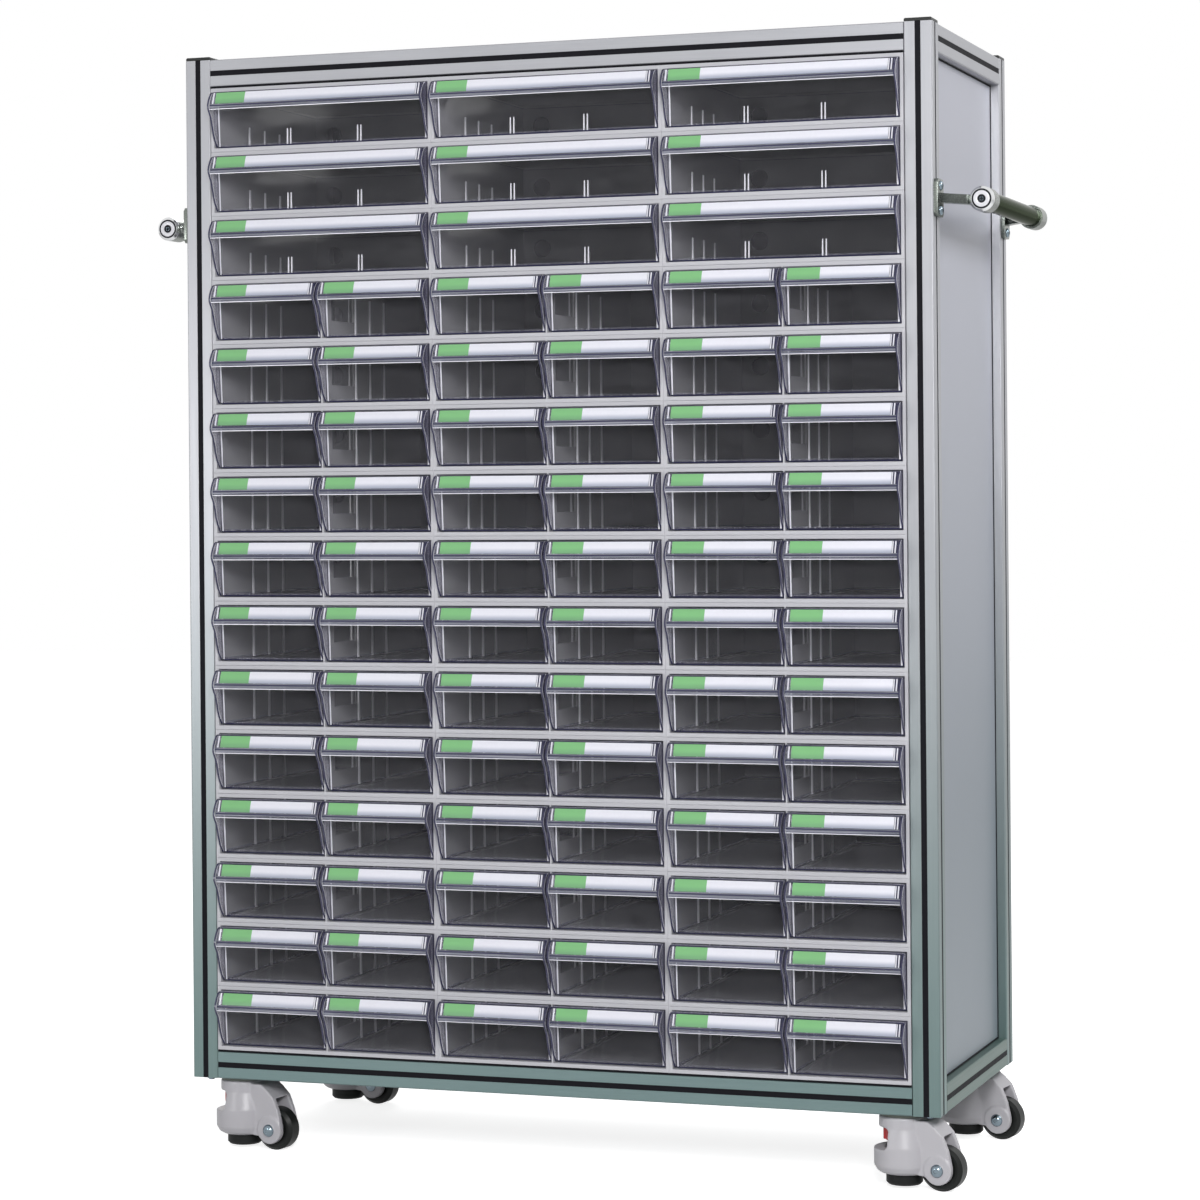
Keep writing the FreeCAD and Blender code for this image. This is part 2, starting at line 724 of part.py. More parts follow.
cut(castor_body, "XZ", -S.boss_width, S.boss_width, circle(S.axle_trail, axle_level, S.axle))

axle_half = S.boss_width / 2
head_radius, axle_radius = S.axle_head / 2, S.axle / 2
axle_bolt = new_body("axle_bolt")
crown = axle_half + S.axle_head_height
turn(axle_bolt, "XY", [
    (ZERO, -crown), (head_radius * 2 / 3, -crown), (head_radius, -axle_half - S.axle_head_height / 3),
    (head_radius, -axle_half), (axle_radius, -axle_half), (axle_radius, axle_half),
    (head_radius, axle_half), (head_radius, axle_half + S.axle_head_height / 3),
    (head_radius * 2 / 3, crown), (ZERO, crown)])

wheel_body = new_body("wheel_body")
tyre, bore = S.wheel / 2, S.axle / 2 + S.running_gap
half_tread = S.wheel_width / 2
hub, rim = S.wheel_hub / 2, S.wheel / 2 - S.wheel_rim
turn(wheel_body, "XY", [
    (bore, -half_tread), (hub, -half_tread), (hub, -half_tread + S.wheel_groove),
    (rim, -half_tread + S.wheel_groove), (rim, -half_tread), (tyre - S.wheel_shoulder, -half_tread),
    (tyre, -half_tread + S.wheel_shoulder), (tyre, half_tread - S.wheel_shoulder),
    (tyre - S.wheel_shoulder, half_tread), (rim, half_tread), (rim, half_tread - S.wheel_groove),
    (hub, half_tread - S.wheel_groove), (hub, half_tread), (bore, half_tread)])

foot_body = new_body("foot_body")
foot_radius = S.foot / 2
stem_high = S.thumbwheel_high
turn(foot_body, "XZ", [
    (ZERO, S.foot_lift), (foot_radius - S.foot_edge, S.foot_lift), (foot_radius, S.foot_lift + S.foot_edge),
    (foot_radius, S.foot_top - S.foot_crown), (foot_radius - S.foot_crown, S.foot_top),
    (S.foot_stem / 2, S.foot_top), (S.foot_stem / 2, stem_high), (ZERO, stem_high)])

thumb_body = new_body("thumb_body")
thumb_radius = S.thumbwheel / 2
add(thumb_body, "XY", S.thumbwheel_low, S.thumbwheel_high, circle(ZERO, ZERO, S.thumbwheel),
    circle(ZERO, ZERO, S.foot_stem + S.running_gap * 2))
thumb_notch = cut(thumb_body, "XY", S.thumbwheel_low - S.cut_over, S.thumbwheel_high + S.cut_over,
                  circle(thumb_radius + S.thumb_notch / 4, ZERO, S.thumb_notch))
grip = thumb_body.newObject("PartDesign::PolarPattern", "thumb_grip")
grip.Originals = [thumb_notch]
grip.Axis = (thumb_notch.Profile[0], ["N_Axis"])
grip.Angle = 360
grip.Occurrences = DRIVING["thumb_notch_count"]
thumb_body.Tip = grip
doc.recompute()

rest_turn = about(ALONG_Z, DRIVING["castor_rest_degrees"])
castor_x = side_x - S.castor_side
CASTORS = {
    "front_left": (-castor_x, front_y + S.castor_front),
    "front_right": (castor_x, front_y + S.castor_front),
    "rear_left": (-castor_x, rear_y - S.castor_front),
    "rear_right": (castor_x, rear_y - S.castor_front),
}
node("castor_heads", (castor_head, [at(x, y, 0) for x, y in CASTORS.values()]))
for corner_name, (x, y) in CASTORS.items():
    swivel_place = [at(x, y, 0, rest_turn)]
    axle_place = [at(x, y, 0, rest_turn).multiply(at(S.axle_trail, 0, axle_level))]
    node("castor_housing_" + corner_name, (castor_body, swivel_place), (axle_bolt, axle_place))
    node("castor_wheel_" + corner_name, (wheel_body, axle_place))
    node("castor_foot_" + corner_name, (foot_body, swivel_place))
    node("castor_thumbwheel_" + corner_name, (thumb_body, swivel_place))

# Every object has to be sound before anything is written

doc.recompute()
faults = [item.Name for item in doc.Objects if "Invalid" in item.State or "Error" in item.State]
faults += [item.Label for item in NODES if item.Shape.isNull() or not item.Shape.isValid()]
if faults:
    raise RuntimeError("not built: " + ", ".join(faults))

os.makedirs("parts", exist_ok=True)
for item in NODES:
    item.Shape.exportStep("parts/%s.step" % item.Label)
print("%d sub-parts written" % len(NODES))
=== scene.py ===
# %% [markdown]
# A parts bin cabinet stands on four castors: a frame of slotted aluminium bars holds three columns of
# moulded housings, and in each housing one wide clear drawer or two small ones slide. The measured model
# of it is loaded first and stays as it is. This lesson dresses it: every bar, panel and housing gets its
# finish, and the clear drawers, their label strips, the screws and the castors' fine forms are modelled here.

# %% Load the measured model
import json
import math

import bmesh
import bpy
import numpy as np
from mathutils import Matrix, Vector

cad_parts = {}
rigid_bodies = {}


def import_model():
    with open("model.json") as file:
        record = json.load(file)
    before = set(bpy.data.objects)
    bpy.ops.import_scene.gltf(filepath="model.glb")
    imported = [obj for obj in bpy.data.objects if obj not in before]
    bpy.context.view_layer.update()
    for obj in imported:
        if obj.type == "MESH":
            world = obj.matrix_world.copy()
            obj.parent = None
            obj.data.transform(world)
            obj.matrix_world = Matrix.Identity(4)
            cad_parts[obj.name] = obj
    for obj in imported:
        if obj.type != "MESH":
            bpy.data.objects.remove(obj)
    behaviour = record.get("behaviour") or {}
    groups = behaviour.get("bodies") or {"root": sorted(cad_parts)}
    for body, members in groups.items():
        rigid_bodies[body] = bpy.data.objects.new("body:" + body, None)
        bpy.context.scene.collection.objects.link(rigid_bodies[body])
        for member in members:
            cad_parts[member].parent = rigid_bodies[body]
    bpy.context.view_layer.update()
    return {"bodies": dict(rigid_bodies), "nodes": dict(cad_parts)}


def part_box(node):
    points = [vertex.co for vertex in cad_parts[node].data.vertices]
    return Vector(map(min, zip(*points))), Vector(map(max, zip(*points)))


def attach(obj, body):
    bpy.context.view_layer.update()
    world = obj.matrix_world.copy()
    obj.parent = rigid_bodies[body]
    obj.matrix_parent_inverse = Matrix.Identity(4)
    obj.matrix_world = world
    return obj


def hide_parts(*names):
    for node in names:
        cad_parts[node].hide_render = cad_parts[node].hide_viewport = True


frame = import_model()
MM = 0.001

# %% [markdown]
# Most pieces here are surfaces worked out on a grid. A profile, such as a section through a lip, is
# carried through a row of stations, each of which says where the profile's origin is and which way its
# two directions point. One array sum gives all the points at once, and the faces are the grid's squares.

# %% Forms on a grid
class Form:
    """Points in millimetres, faces as lists of point numbers, and a finish number for each face."""

    def __init__(self, points, faces, finish=0):
        self.points = np.asarray(points, float).reshape(-1, 3)
        self.faces = [tuple(face) for face in faces]
        self.finish = list(finish) if np.iterable(finish) else [finish] * len(self.faces)

    def __add__(self, other):
        count = len(self.points)
        faces = self.faces + [tuple(count + index for index in face) for face in other.faces]
        return Form(np.vstack([self.points, other.points]), faces, self.finish + other.finish)

    def shifted(self, x=0.0, y=0.0, z=0.0):
        """Every point plus one step."""
        return Form(self.points + np.array([x, y, z]), self.faces, self.finish)

    def turned(self, matrix):
        """Every point times a 3 by 3 turning matrix, so the faces keep their outer side."""
        return Form(self.points @ np.asarray(matrix, float).T, self.faces, self.finish)

    def mirrored(self):
        """X changes its sign, and each face is read backwards so that it still points outwards."""
        return Form(self.points * np.array([-1, 1, 1]), [face[::-1] for face in self.faces], self.finish)


def joined(forms):
    """All the forms as one, in their order."""
    return sum(forms[1:], forms[0])


def grid_faces(rows, columns, around_rows=False, around_columns=False):
    """The squares between neighbouring rows and columns, joined end to end where asked."""
    row = np.arange(rows if around_rows else rows - 1)
    column = np.arange(columns if around_columns else columns - 1)
    r, c = np.meshgrid(row, column, indexing="ij")
    down, right = (r + 1) % rows, (c + 1) % columns
    squares = np.stack([r * columns + c, r * columns + right, down * columns + right, down * columns + c], -1)
    return squares.reshape(-1, 4).tolist()


def end_faces(rows, columns):
    """The first row of a closed grid read backwards and the last one forwards, as its two ends."""
    return [list(range(columns))[::-1], [(rows - 1) * columns + i for i in range(columns)]]


def carried(profile, origins, across, up, finish=0):
    """A closed profile carried through stations: point = origin + across * u + up * v, for every
    station and every point (u, v) of the profile. The two ends are closed with the profile itself."""
    profile = np.asarray(profile, float)
    origins, across, up = (np.atleast_2d(np.asarray(a, float)) for a in (origins, across, up))
    points = (origins[:, None] + across[:, None] * profile[None, :, :1] + up[:, None] * profile[None, :, 1:])
    rows, columns = len(origins), len(profile)
    faces = grid_faces(rows, columns, around_columns=True) + end_faces(rows, columns)
    return Form(points, faces, finish)


def bar_along_x(profile, left, right, finish=0):
    """A profile in (Y, Z) carried straight from left to right."""
    ends = [[left, 0, 0], [right, 0, 0]]
    return carried(profile, ends, [[0, 1, 0]] * 2, [[0, 0, 1]] * 2, finish)


def turned_ring(profile, segments=48):
    """A profile (radius, height) turned about Z: x = radius * cos a, y = radius * sin a. Its first and
    last rows are closed with flat faces."""
    profile = np.asarray(profile, float)
    angle = np.linspace(0, 2 * np.pi, segments, endpoint=False)
    radius, height = profile[:, 0], profile[:, 1]
    points = np.stack([np.outer(radius, np.cos(angle)), np.outer(radius, np.sin(angle)),
                       np.repeat(height[:, None], segments, 1)], -1)
    faces = grid_faces(len(profile), segments, around_columns=True)
    return Form(points, faces + end_faces(len(profile), segments))


# %% Pieces from forms
def round_edges(piece, radius):
    """A two-step bevel on every edge that is sharper than 40 degrees."""
    rounding = piece.modifiers.new("rounded_edges", "BEVEL")
    rounding.width = radius * MM
    rounding.segments = 2
    rounding.limit_method = "ANGLE"
    rounding.angle_limit = math.radians(40)
    return rounding


def make_piece(name, form, finishes, body, sharp_degrees=35, bevel=0.0, replaced=()):
    """Put a form into a mesh in metres, smooth it below the sharp angle and let it ride on a body."""
    mesh = bpy.data.meshes.new(name)
    mesh.from_pydata((form.points * MM).tolist(), [], form.faces)
    for finish in finishes:
        mesh.materials.append(finish)
    mesh.polygons.foreach_set("material_index", form.finish)
    mesh.shade_smooth()
    mesh.set_sharp_from_angle(angle=math.radians(sharp_degrees))
    mesh.update()
    piece = bpy.data.objects.new(name, mesh)
    bpy.context.scene.collection.objects.link(piece)
    if bevel:
        round_edges(piece, bevel).harden_normals = True
    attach(piece, body)
    if replaced:
        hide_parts(*replaced)
    return piece


# %% [markdown]
# A finish is a small net of nodes. Written as plain sums it reads like the thought behind it, so one
# class wraps a node's output and turns +, -, * and / into Math nodes, and another makes the nodes.

# %% Arithmetic on shader outputs
class Wire:
    """A value in the shader. Arithmetic on it adds Math nodes."""

    def __init__(self, finish, socket):
        self.finish, self.socket = finish, socket

    def maths(self, operation, *values):
        numbered = dict(enumerate((self, *values)))
        return self.finish.node("ShaderNodeMath", {"operation": operation}, numbered)

    def __add__(self, other):
        return self.maths("ADD", other)

    def __sub__(self, other):
        return self.maths("SUBTRACT", other)

    def __mul__(self, other):
        return self.maths("MULTIPLY", other)

    def __truediv__(self, other):
        return self.maths("DIVIDE", other)

    def __rsub__(self, other):
        return self.maths("MULTIPLY", -1.0).maths("ADD", other)

    __radd__, __rmul__ = __add__, __mul__

    def between(self, low, high):
        """0 at low, 1 at high, eased and held outside."""
        settings = {"interpolation_type": "SMOOTHSTEP"}
        return self.finish.node("ShaderNodeMapRange", settings, {"Value": self, 1: low, 2: high})


class Finish:
    """A material under construction."""

    def __init__(self, name):
        self.material = bpy.data.materials.new(name)
        self.material.use_nodes = True
        self.tree = self.material.node_tree
        self.tree.nodes.clear()

    def node(self, kind, settings=None, inputs=None, out=0):
        """Add a node, set what it is first, then feed its sockets with numbers or wires."""
        made = self.tree.nodes.new(kind)
        for key, value in (settings or {}).items():
            if key == "stops":
                self.set_stops(made.color_ramp, value)
            else:
                setattr(made, key, value)
        for key, value in (inputs or {}).items():
            socket = made.inputs[key]
            if isinstance(value, Wire):
                self.tree.links.new(value.socket, socket)
            else:
                socket.default_value = value
        return Wire(self, made.outputs[out]) if len(made.outputs) else None

    @staticmethod
    def set_stops(ramp, stops):
        while len(ramp.elements) < len(stops):
            ramp.elements.new(0.5)
        for element, (place, colour) in zip(ramp.elements, stops):
            element.position = place
            element.color = (*colour, 1)

    def place(self, scale=(1, 1, 1)):
        """Object coordinates in metres, stretched."""
        coordinates = self.node("ShaderNodeTexCoord", out="Object")
        return self.node("ShaderNodeMapping", None, {"Vector": coordinates, "Scale": scale})

    def along(self, axis):
        """One of the three object coordinates, X, Y or Z."""
        return self.node("ShaderNodeSeparateXYZ", None, {"Vector": self.place()}, out=axis)

    def level(self, low, high):
        """Height on the object as a share: 0 at the low level and 1 at the high one, in metres."""
        return self.along("Z").between(low, high)

    def depth(self, near, far):
        """How far back a point lies, as a share: 0 at the near Y and 1 at the far one, in metres."""
        return self.along("Y").between(near, far)

    def row_share(self, pitch, head):
        """Where a point lies between two row lines, from 0 at the lower to 1 at the upper."""
        return ((self.along("Z") - head) / pitch).maths("FRACT")

    def noise(self, scale, detail=3.0, stretch=(1, 1, 1)):
        """Cloudy noise between 0 and 1, with a grain of about 1 / scale metres."""
        return self.node("ShaderNodeTexNoise", None,
                         {"Vector": self.place(stretch), "Scale": scale, "Detail": detail})

    def mix(self, factor, first, second):
        """A colour between two, as a share of the second."""
        settings = {"data_type": "RGBA"}
        ends = {6: (*first, 1) if isinstance(first, tuple) else first,
                7: (*second, 1) if isinstance(second, tuple) else second}
        return self.node("ShaderNodeMix", settings, {0: factor, **ends}, out=2)

    def bump(self, height, strength, distance):
        return self.node("ShaderNodeBump", None,
                         {"Height": height, "Strength": strength, "Distance": distance})

    def finished(self, **sockets):
        """Close the net with the Principled shader. Names have _ in place of spaces."""
        inputs = {name.replace("_", " "): value for name, value in sockets.items()}
        for name in ("Base Color", "Emission Color", "Specular Tint", "Coat Tint"):
            if isinstance(inputs.get(name), tuple) and len(inputs[name]) == 3:
                inputs[name] = (*inputs[name], 1)
        shader = self.node("ShaderNodeBsdfPrincipled", None, inputs)
        self.node("ShaderNodeOutputMaterial", None, {"Surface": shader})
        return self.material


# %% [markdown]
# The frame's bars are aluminium, drawn through a die and anodised to a satin. The die leaves fine lines
# along the bar, so the grain is noise squeezed hard across the bar and hardly at all along it. Bars run
# along X, Y and Z, and each direction has its own copy of the finish.

# %% Satin aluminium
GRAIN_ACROSS, GRAIN_ALONG = 900.0, 6.0


def drawn_out(across, along, way):
    """The stretch that draws noise out into lines along one of x, y and z."""
    return tuple(along if axis == way else across for axis in "xyz")


def satin_aluminium(name, way, painted_foot_shade):
    """Drawn and anodised bar. Its colour is a painted reflection: pale as the studio at its head, and dim teal as
    the floor at its foot, with painted shade there.
    """
    finish = Finish(name)
    lines = finish.noise(1.0, 2.0, drawn_out(GRAIN_ACROSS, GRAIN_ALONG, way))
    clouds = finish.noise(7.0, 3.0)
    # Painted light: by height the colour runs from the foot colours, painted shade and a painted reflection of
    # the floor, to the head colours, a painted reflection of the pale studio.
    height = finish.level(0.05, 1.1)
    foot = finish.mix(lines * 0.5 + clouds * 0.5, *painted_foot_shade)
    head = finish.mix(lines * 0.5 + clouds * 0.5, (0.33, 0.335, 0.36), (0.42, 0.425, 0.45))
    return finish.finished(
        Base_Color=finish.mix(height, foot, head), Metallic=0.7,
        Roughness=0.30 + lines * 0.14 + clouds * 0.05, Normal=finish.bump(lines, 0.08, 0.0004))


# %% Moulded and painted finishes
SPARK, SPARK_DEPTH = 900.0, 0.00015


def moulded_plastic(name, dark, light, roughness=0.45, shine=0.5):
    """Plastic with a faint cloud in its colour and the fine spark grain of its mould."""
    finish = Finish(name)
    clouds = finish.noise(9.0, 4.0)
    spark = finish.noise(SPARK, 2.0)
    worn = finish.noise(60.0, 5.0)
    return finish.finished(
        Base_Color=finish.mix(clouds * 0.8 + spark * 0.2, dark, light),
        Roughness=roughness - 0.06 + worn * 0.14, Specular_IOR_Level=shine,
        Normal=finish.bump(spark, 0.25, SPARK_DEPTH))


ROW_PITCH, STACK_HEAD = 0.0944, 1.564


def card_finish(name, head, foot):
    """A glossy card that bulges. Its colour greys towards its lower edge, painted shade where the bulge turns it
    from the lamps.
    """
    finish = Finish(name)
    share = finish.row_share(ROW_PITCH, STACK_HEAD)
    fibres = finish.noise(260.0, 4.0)
    # Painted shade: down the row the card fades from its head colour to the darker foot colour near its lower
    # edge.
    colour = finish.mix(share.between(0.735, 0.83), foot, head)
    return finish.finished(
        Base_Color=finish.mix(fibres * 0.12, colour, foot), Roughness=0.26 + fibres * 0.08,
        Coat_Weight=0.4, Coat_Roughness=0.2, Normal=finish.bump(fibres, 0.1, 0.0001))


def powder_coat(name, dark, light, roughness=0.4):
    """Baked powder paint: even in colour, with the soft ripple of an orange's peel."""
    finish = Finish(name)
    clouds = finish.noise(3.0, 3.0)
    peel = finish.noise(420.0, 1.0)
    return finish.finished(
        Base_Color=finish.mix(clouds, dark, light), Roughness=roughness + clouds * 0.08,
        Normal=finish.bump(peel, 0.12, 0.0003))


def panel_paint(name, foot, head):
    """The side panels' powder paint: a pale grey with painted shade, deeper and bluer towards the floor."""
    finish = Finish(name)
    clouds = finish.noise(3.0, 3.0)
    peel = finish.noise(420.0, 1.0)
    # Painted shade: by height the colour runs from the deeper, bluer foot to the head colour.
    colour = finish.mix(finish.level(0.1, 1.55), foot, head)
    return finish.finished(
        Base_Color=finish.mix(clouds * 0.3, colour, tuple(1.1 * c for c in head)),
        Roughness=0.35 + clouds * 0.08, Normal=finish.bump(peel, 0.12, 0.0003))


def back_paint(name, painted_shade_colour, outside):
    """The back sheet: painted shade on its side towards the drawers, a dark colour where little light reaches,
    and the side panels' pale grey behind.
    """
    finish = Finish(name)
    clouds = finish.noise(3.0, 3.0)
    peel = finish.noise(420.0, 1.0)
    low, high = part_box("back_panel")
    middle = (low.y + high.y) / 2
    # Painted shade: the half of the sheet towards the drawers is dark, the far half pale grey.
    colour = finish.mix(finish.depth(middle - 0.0004, middle + 0.0004), painted_shade_colour, outside)
    return finish.finished(
        Base_Color=finish.mix(clouds * 0.2, colour, painted_shade_colour), Roughness=0.4 + clouds * 0.08,
        Normal=finish.bump(peel, 0.12, 0.0003))


def bright_metal(name, dark, light, roughness, way="y", grain=1400.0, edge=(1, 1, 1)):
    """Polished or plated metal with hair lines one way and dull patches where it is handled. The edge
    colour is what it mirrors at a grazing angle."""
    finish = Finish(name)
    hair = finish.noise(1.0, 2.0, drawn_out(grain, 8.0, way))
    handled = finish.noise(24.0, 4.0)
    return finish.finished(
        Base_Color=finish.mix(handled, dark, light), Metallic=1.0, Specular_Tint=edge,
        Roughness=roughness + hair * 0.08 + handled * 0.06, Normal=finish.bump(hair, 0.05, 0.0002))


# %% [markdown]
# The drawers are clear polystyrene. A wall of it lets almost everything through and shows itself only
# where it is seen aslant, while a cut edge gathers light along the sheet and looks violet and dense. So
# the walls and the edges are two finishes, and both grow denser with the angle of view. The edges' dark
# and bright lines are painted shade and painted highlights.

# %% Clear plastic
def clear_plastic(name, tint, least, most, roughness):
    """Mostly see-through. Opacity rises from least, face on, to most, edge on, with faint smears."""
    finish = Finish(name)
    smears = finish.noise(35.0, 4.0, (1, 1, 2.5))
    aslant = finish.node("ShaderNodeLayerWeight", None, {"Blend": 0.35}, out="Facing")
    cover = least + aslant * (most - least) + smears * 0.04
    return finish.finished(
        Base_Color=finish.mix(smears, tint, tuple(min(1.0, c * 1.15) for c in tint)), Alpha=cover,
        Roughness=roughness + smears * 0.08, IOR=1.5, Specular_IOR_Level=0.9)


# %% Housing plastic
def housing_plastic(name, lip, walls, backs):
    """Pale moulded plastic. Its lips are clean and light. Behind them the cells darken with depth, which is
    painted shade, and walls and backs are a low and a high colour each, painted light that is brighter in
    the upper cells, where the lamps reach best."""
    finish = Finish(name)
    clouds = finish.noise(9.0, 4.0)
    spark = finish.noise(SPARK, 2.0)
    worn = finish.noise(60.0, 5.0)
    # Painted light and shade: the cells grow darker with depth and lighter with height.
    height = finish.level(0.15, 1.5)
    inside = finish.mix(finish.depth(-0.22, 0.0), finish.mix(height, *walls), finish.mix(height, *backs))
    colour = finish.mix(finish.depth(-0.2185, -0.2165), lip, inside)
    return finish.finished(
        Base_Color=finish.mix(clouds * 0.35 + spark * 0.1, colour, tuple(0.9 * c for c in lip)),
        Roughness=worn * 0.14 + 0.42, Normal=finish.bump(spark, 0.2, 0.00012))


# %% Streaked edges of the clear plastic
def streaked_plastic(name, way, colours, least, most, fine=650.0):
    """A rim painted as a bundle of dark and bright lines: painted shade and painted highlights for the light
    that runs along a clear sheet and leaves it at its rims. The lines are noise squeezed hard across them,
    read through a ramp of three colours."""
    finish = Finish(name)
    lines = finish.noise(1.0, 1.0, drawn_out(fine, 6.0, way))
    # Painted light: the dark colour is painted shade and the bright one a painted highlight.
    dark, middle, bright = colours
    ramp = {"stops": [(0.34, dark), (0.46, middle), (0.56, middle), (0.68, bright)]}
    aslant = finish.node("ShaderNodeLayerWeight", None, {"Blend": 0.4}, out="Facing")
    return finish.finished(
        Base_Color=finish.node("ShaderNodeValToRGB", ramp, {"Fac": lines}),
        Alpha=least + aslant * (most - least), Roughness=0.08 + lines * 0.06, IOR=1.5)


FINISHES = {
    # Each direction's foot colours are painted shade and painted reflection, darkest for the bars along Y, whose
    # low side rails lie in shade.
    "bars_along_x": satin_aluminium("aluminium_bars_along_x", "x", ((0.13, 0.20, 0.20), (0.18, 0.25, 0.25))),
    "bars_along_y": satin_aluminium("aluminium_bars_along_y", "y", ((0.075, 0.125, 0.11), (0.11, 0.17, 0.15))),
    "bars_along_z": satin_aluminium("aluminium_bars_along_z", "z", ((0.12, 0.18, 0.175), (0.17, 0.24, 0.235))),
    "black_strip": moulded_plastic("black_strip", (0.003, 0.003, 0.005), (0.007, 0.007, 0.010), 0.65,
                                   shine=0.12),
    "black_cap": moulded_plastic("black_cap", (0.008, 0.009, 0.009), (0.018, 0.02, 0.019), 0.4, shine=0.35),
    "panel": panel_paint("pale_panel", (0.17, 0.215, 0.245), (0.405, 0.414, 0.478)),
    "back": back_paint("back_sheet", (0.03, 0.033, 0.032), (0.40, 0.41, 0.46)),
    "base": powder_coat("base_sheet", (0.03, 0.03, 0.035), (0.045, 0.045, 0.05), 0.45),
    # The housing's low and high wall and back colours are painted light and painted shade.
    "housing": housing_plastic(
        "housing_plastic", lip=(0.53, 0.53, 0.565), walls=((0.38, 0.38, 0.41), (0.66, 0.65, 0.71)),
        backs=((0.13, 0.15, 0.14), (0.32, 0.33, 0.315))),
    "clear_wall": clear_plastic("clear_wall", (0.50, 0.50, 0.56), 0.010, 0.16, 0.08),
    "clear_rim": streaked_plastic("clear_rim", "z", ((0.02, 0.02, 0.06), (0.30, 0.30, 0.40), (0.8, 0.8, 0.9)),
                                  0.35, 0.95),
    "clear_lip": streaked_plastic("clear_lip", "x", ((0.16, 0.17, 0.22), (0.34, 0.36, 0.44),
                                                     (0.55, 0.56, 0.65)), 0.5, 0.8, 420.0),
    # Painted shade and painted highlights: opaque dark and near-white plastics for the dark and bright lines of
    # the clear drawers.
    "clear_dark_painted_shade": moulded_plastic("clear_dark_painted_shade", (0.02, 0.02, 0.05), (0.05, 0.05, 0.11), 0.15),
    "clear_bright_painted_highlight": moulded_plastic("clear_bright_painted_highlight", (0.84, 0.84, 0.92), (0.94, 0.94, 0.99), 0.15),
    # Painted light and shade: a lit lilac and a shaded violet copy of the clear plastic.
    "clear_violet_painted_shade": clear_plastic("clear_violet_painted_shade", (0.09, 0.085, 0.16), 0.45, 0.8, 0.1),
    "clear_lilac_painted_light": clear_plastic("clear_lilac_painted_light", (0.42, 0.41, 0.50), 0.22, 0.5, 0.1),
    # The cards' foot colours are painted shade for their lower edges.
    "card_white": card_finish("card_white", (0.84, 0.84, 0.92), (0.36, 0.39, 0.49)),
    "card_green": card_finish("card_green", (0.20, 0.50, 0.20), (0.15, 0.36, 0.17)),
    "bracket": bright_metal("bracket_grey", (0.15, 0.17, 0.155), (0.23, 0.245, 0.225), 0.2, "x", 900.0),
    # Painted reflection: the tube is steel, and its dark olive base and edge colours stand for the dim green room
    # that it mirrors.
    "tube": bright_metal("handle_painted_olive_reflection", (0.042, 0.050, 0.040), (0.060, 0.068, 0.056), 0.05,
                         edge=(0.36, 0.38, 0.34)),
    "chrome": bright_metal("chrome_cap", (0.66, 0.67, 0.68), (0.80, 0.81, 0.82), 0.07),
    # Painted shade: a near-black ring and cross stand for the shade in the end cap's groove and in its screw's
    # cross.
    "outline": bright_metal("painted_shade_groove", (0.010, 0.011, 0.013), (0.022, 0.024, 0.027), 0.3,
                            edge=(0.2, 0.2, 0.2)),
    "disc": powder_coat("end_disc_enamel", (0.66, 0.66, 0.70), (0.76, 0.76, 0.80), 0.2),
    "bolt": bright_metal("bolt_steel", (0.16, 0.21, 0.25), (0.28, 0.34, 0.38), 0.12),
    # Painted shade: the castor heads sit in the frame's shadow, so their colour is a dark olive-grey.
    "head": powder_coat("castor_head_painted_shade", (0.08, 0.095, 0.08), (0.12, 0.135, 0.115), 0.4),
    "castor": powder_coat("castor_grey", (0.44, 0.43, 0.46), (0.51, 0.50, 0.53), 0.3),
    "wheel": moulded_plastic("wheel_black", (0.006, 0.007, 0.007), (0.016, 0.018, 0.017), 0.34, shine=0.2),
    "foot": moulded_plastic("foot_black", (0.005, 0.006, 0.006), (0.014, 0.015, 0.015), 0.5, shine=0.2),
    "thumb": moulded_plastic("thumbwheel_red", (0.36, 0.010, 0.012), (0.5, 0.02, 0.02), 0.35),
}
print(len(FINISHES), "finishes made")

# %% Finishes of the measured pieces
NODE_FINISH = {
    "corner_posts": "bars_along_z", "cross_rails": "bars_along_x", "side_rails": "bars_along_y",
    "post_caps": "black_cap", "slot_covers": "black_strip", "right_side_panel": "panel",
    "left_side_panel": "panel", "back_panel": "back", "top_panel": "panel", "base_panel": "base",
    "wide_drawer_housings": "housing", "small_drawer_housings": "housing", "handle_brackets": "bracket",
    "handle_tubes": "tube", "handle_end_caps": "chrome", "fasteners": "bolt", "castor_heads": "head",
    "castor_housing": "castor", "castor_wheel": "wheel", "castor_foot": "foot",
    "castor_thumbwheel": "thumb",
}
for name, thing in frame["nodes"].items():
    kind = next((key for key in NODE_FINISH if name.startswith(key)), None)
    finish = FINISHES[NODE_FINISH[kind]] if kind else FINISHES["clear_wall"]
    thing.data.materials.clear()
    thing.data.materials.append(finish)

# %% [markdown]
# A drawer is one moulding: a tub with a thin rim, two cheeks that stand out in front like fins, and
# between them a nearly upright face that carries the label over a finger grip. All sizes are in
# millimetres, in the drawer's own frame: X from its middle, Y back from the front plane, Z up from its underside.

# %% Sizes of a drawer
DRAWER_HEIGHT = 81.2
DRAWER_LENGTH = 374.5
WALL = 2.2
WIDE_WIDTH, SMALL_WIDTH = 336.4, 166.15
FOOT_BACK, WALL_LEAN = 8.0, 6.0
LABEL_TOP, LABEL_LOW = np.array([-12.0, 79.6]), np.array([-18.5, 62.8])
# Painted light in the drawer finishes: the dark one is painted shade and the bright one a painted highlight along
# edges, ribs and ridges, and the lilac and violet ones are a lit and a shaded copy of the clear plastic.
CLEAR, RIM, LIP, DARK_PAINTED_SHADE, BRIGHT_PAINTED_HIGHLIGHT, WHITE, GREEN, VIOLET_PAINTED_SHADE, LILAC_PAINTED_LIGHT = range(9)


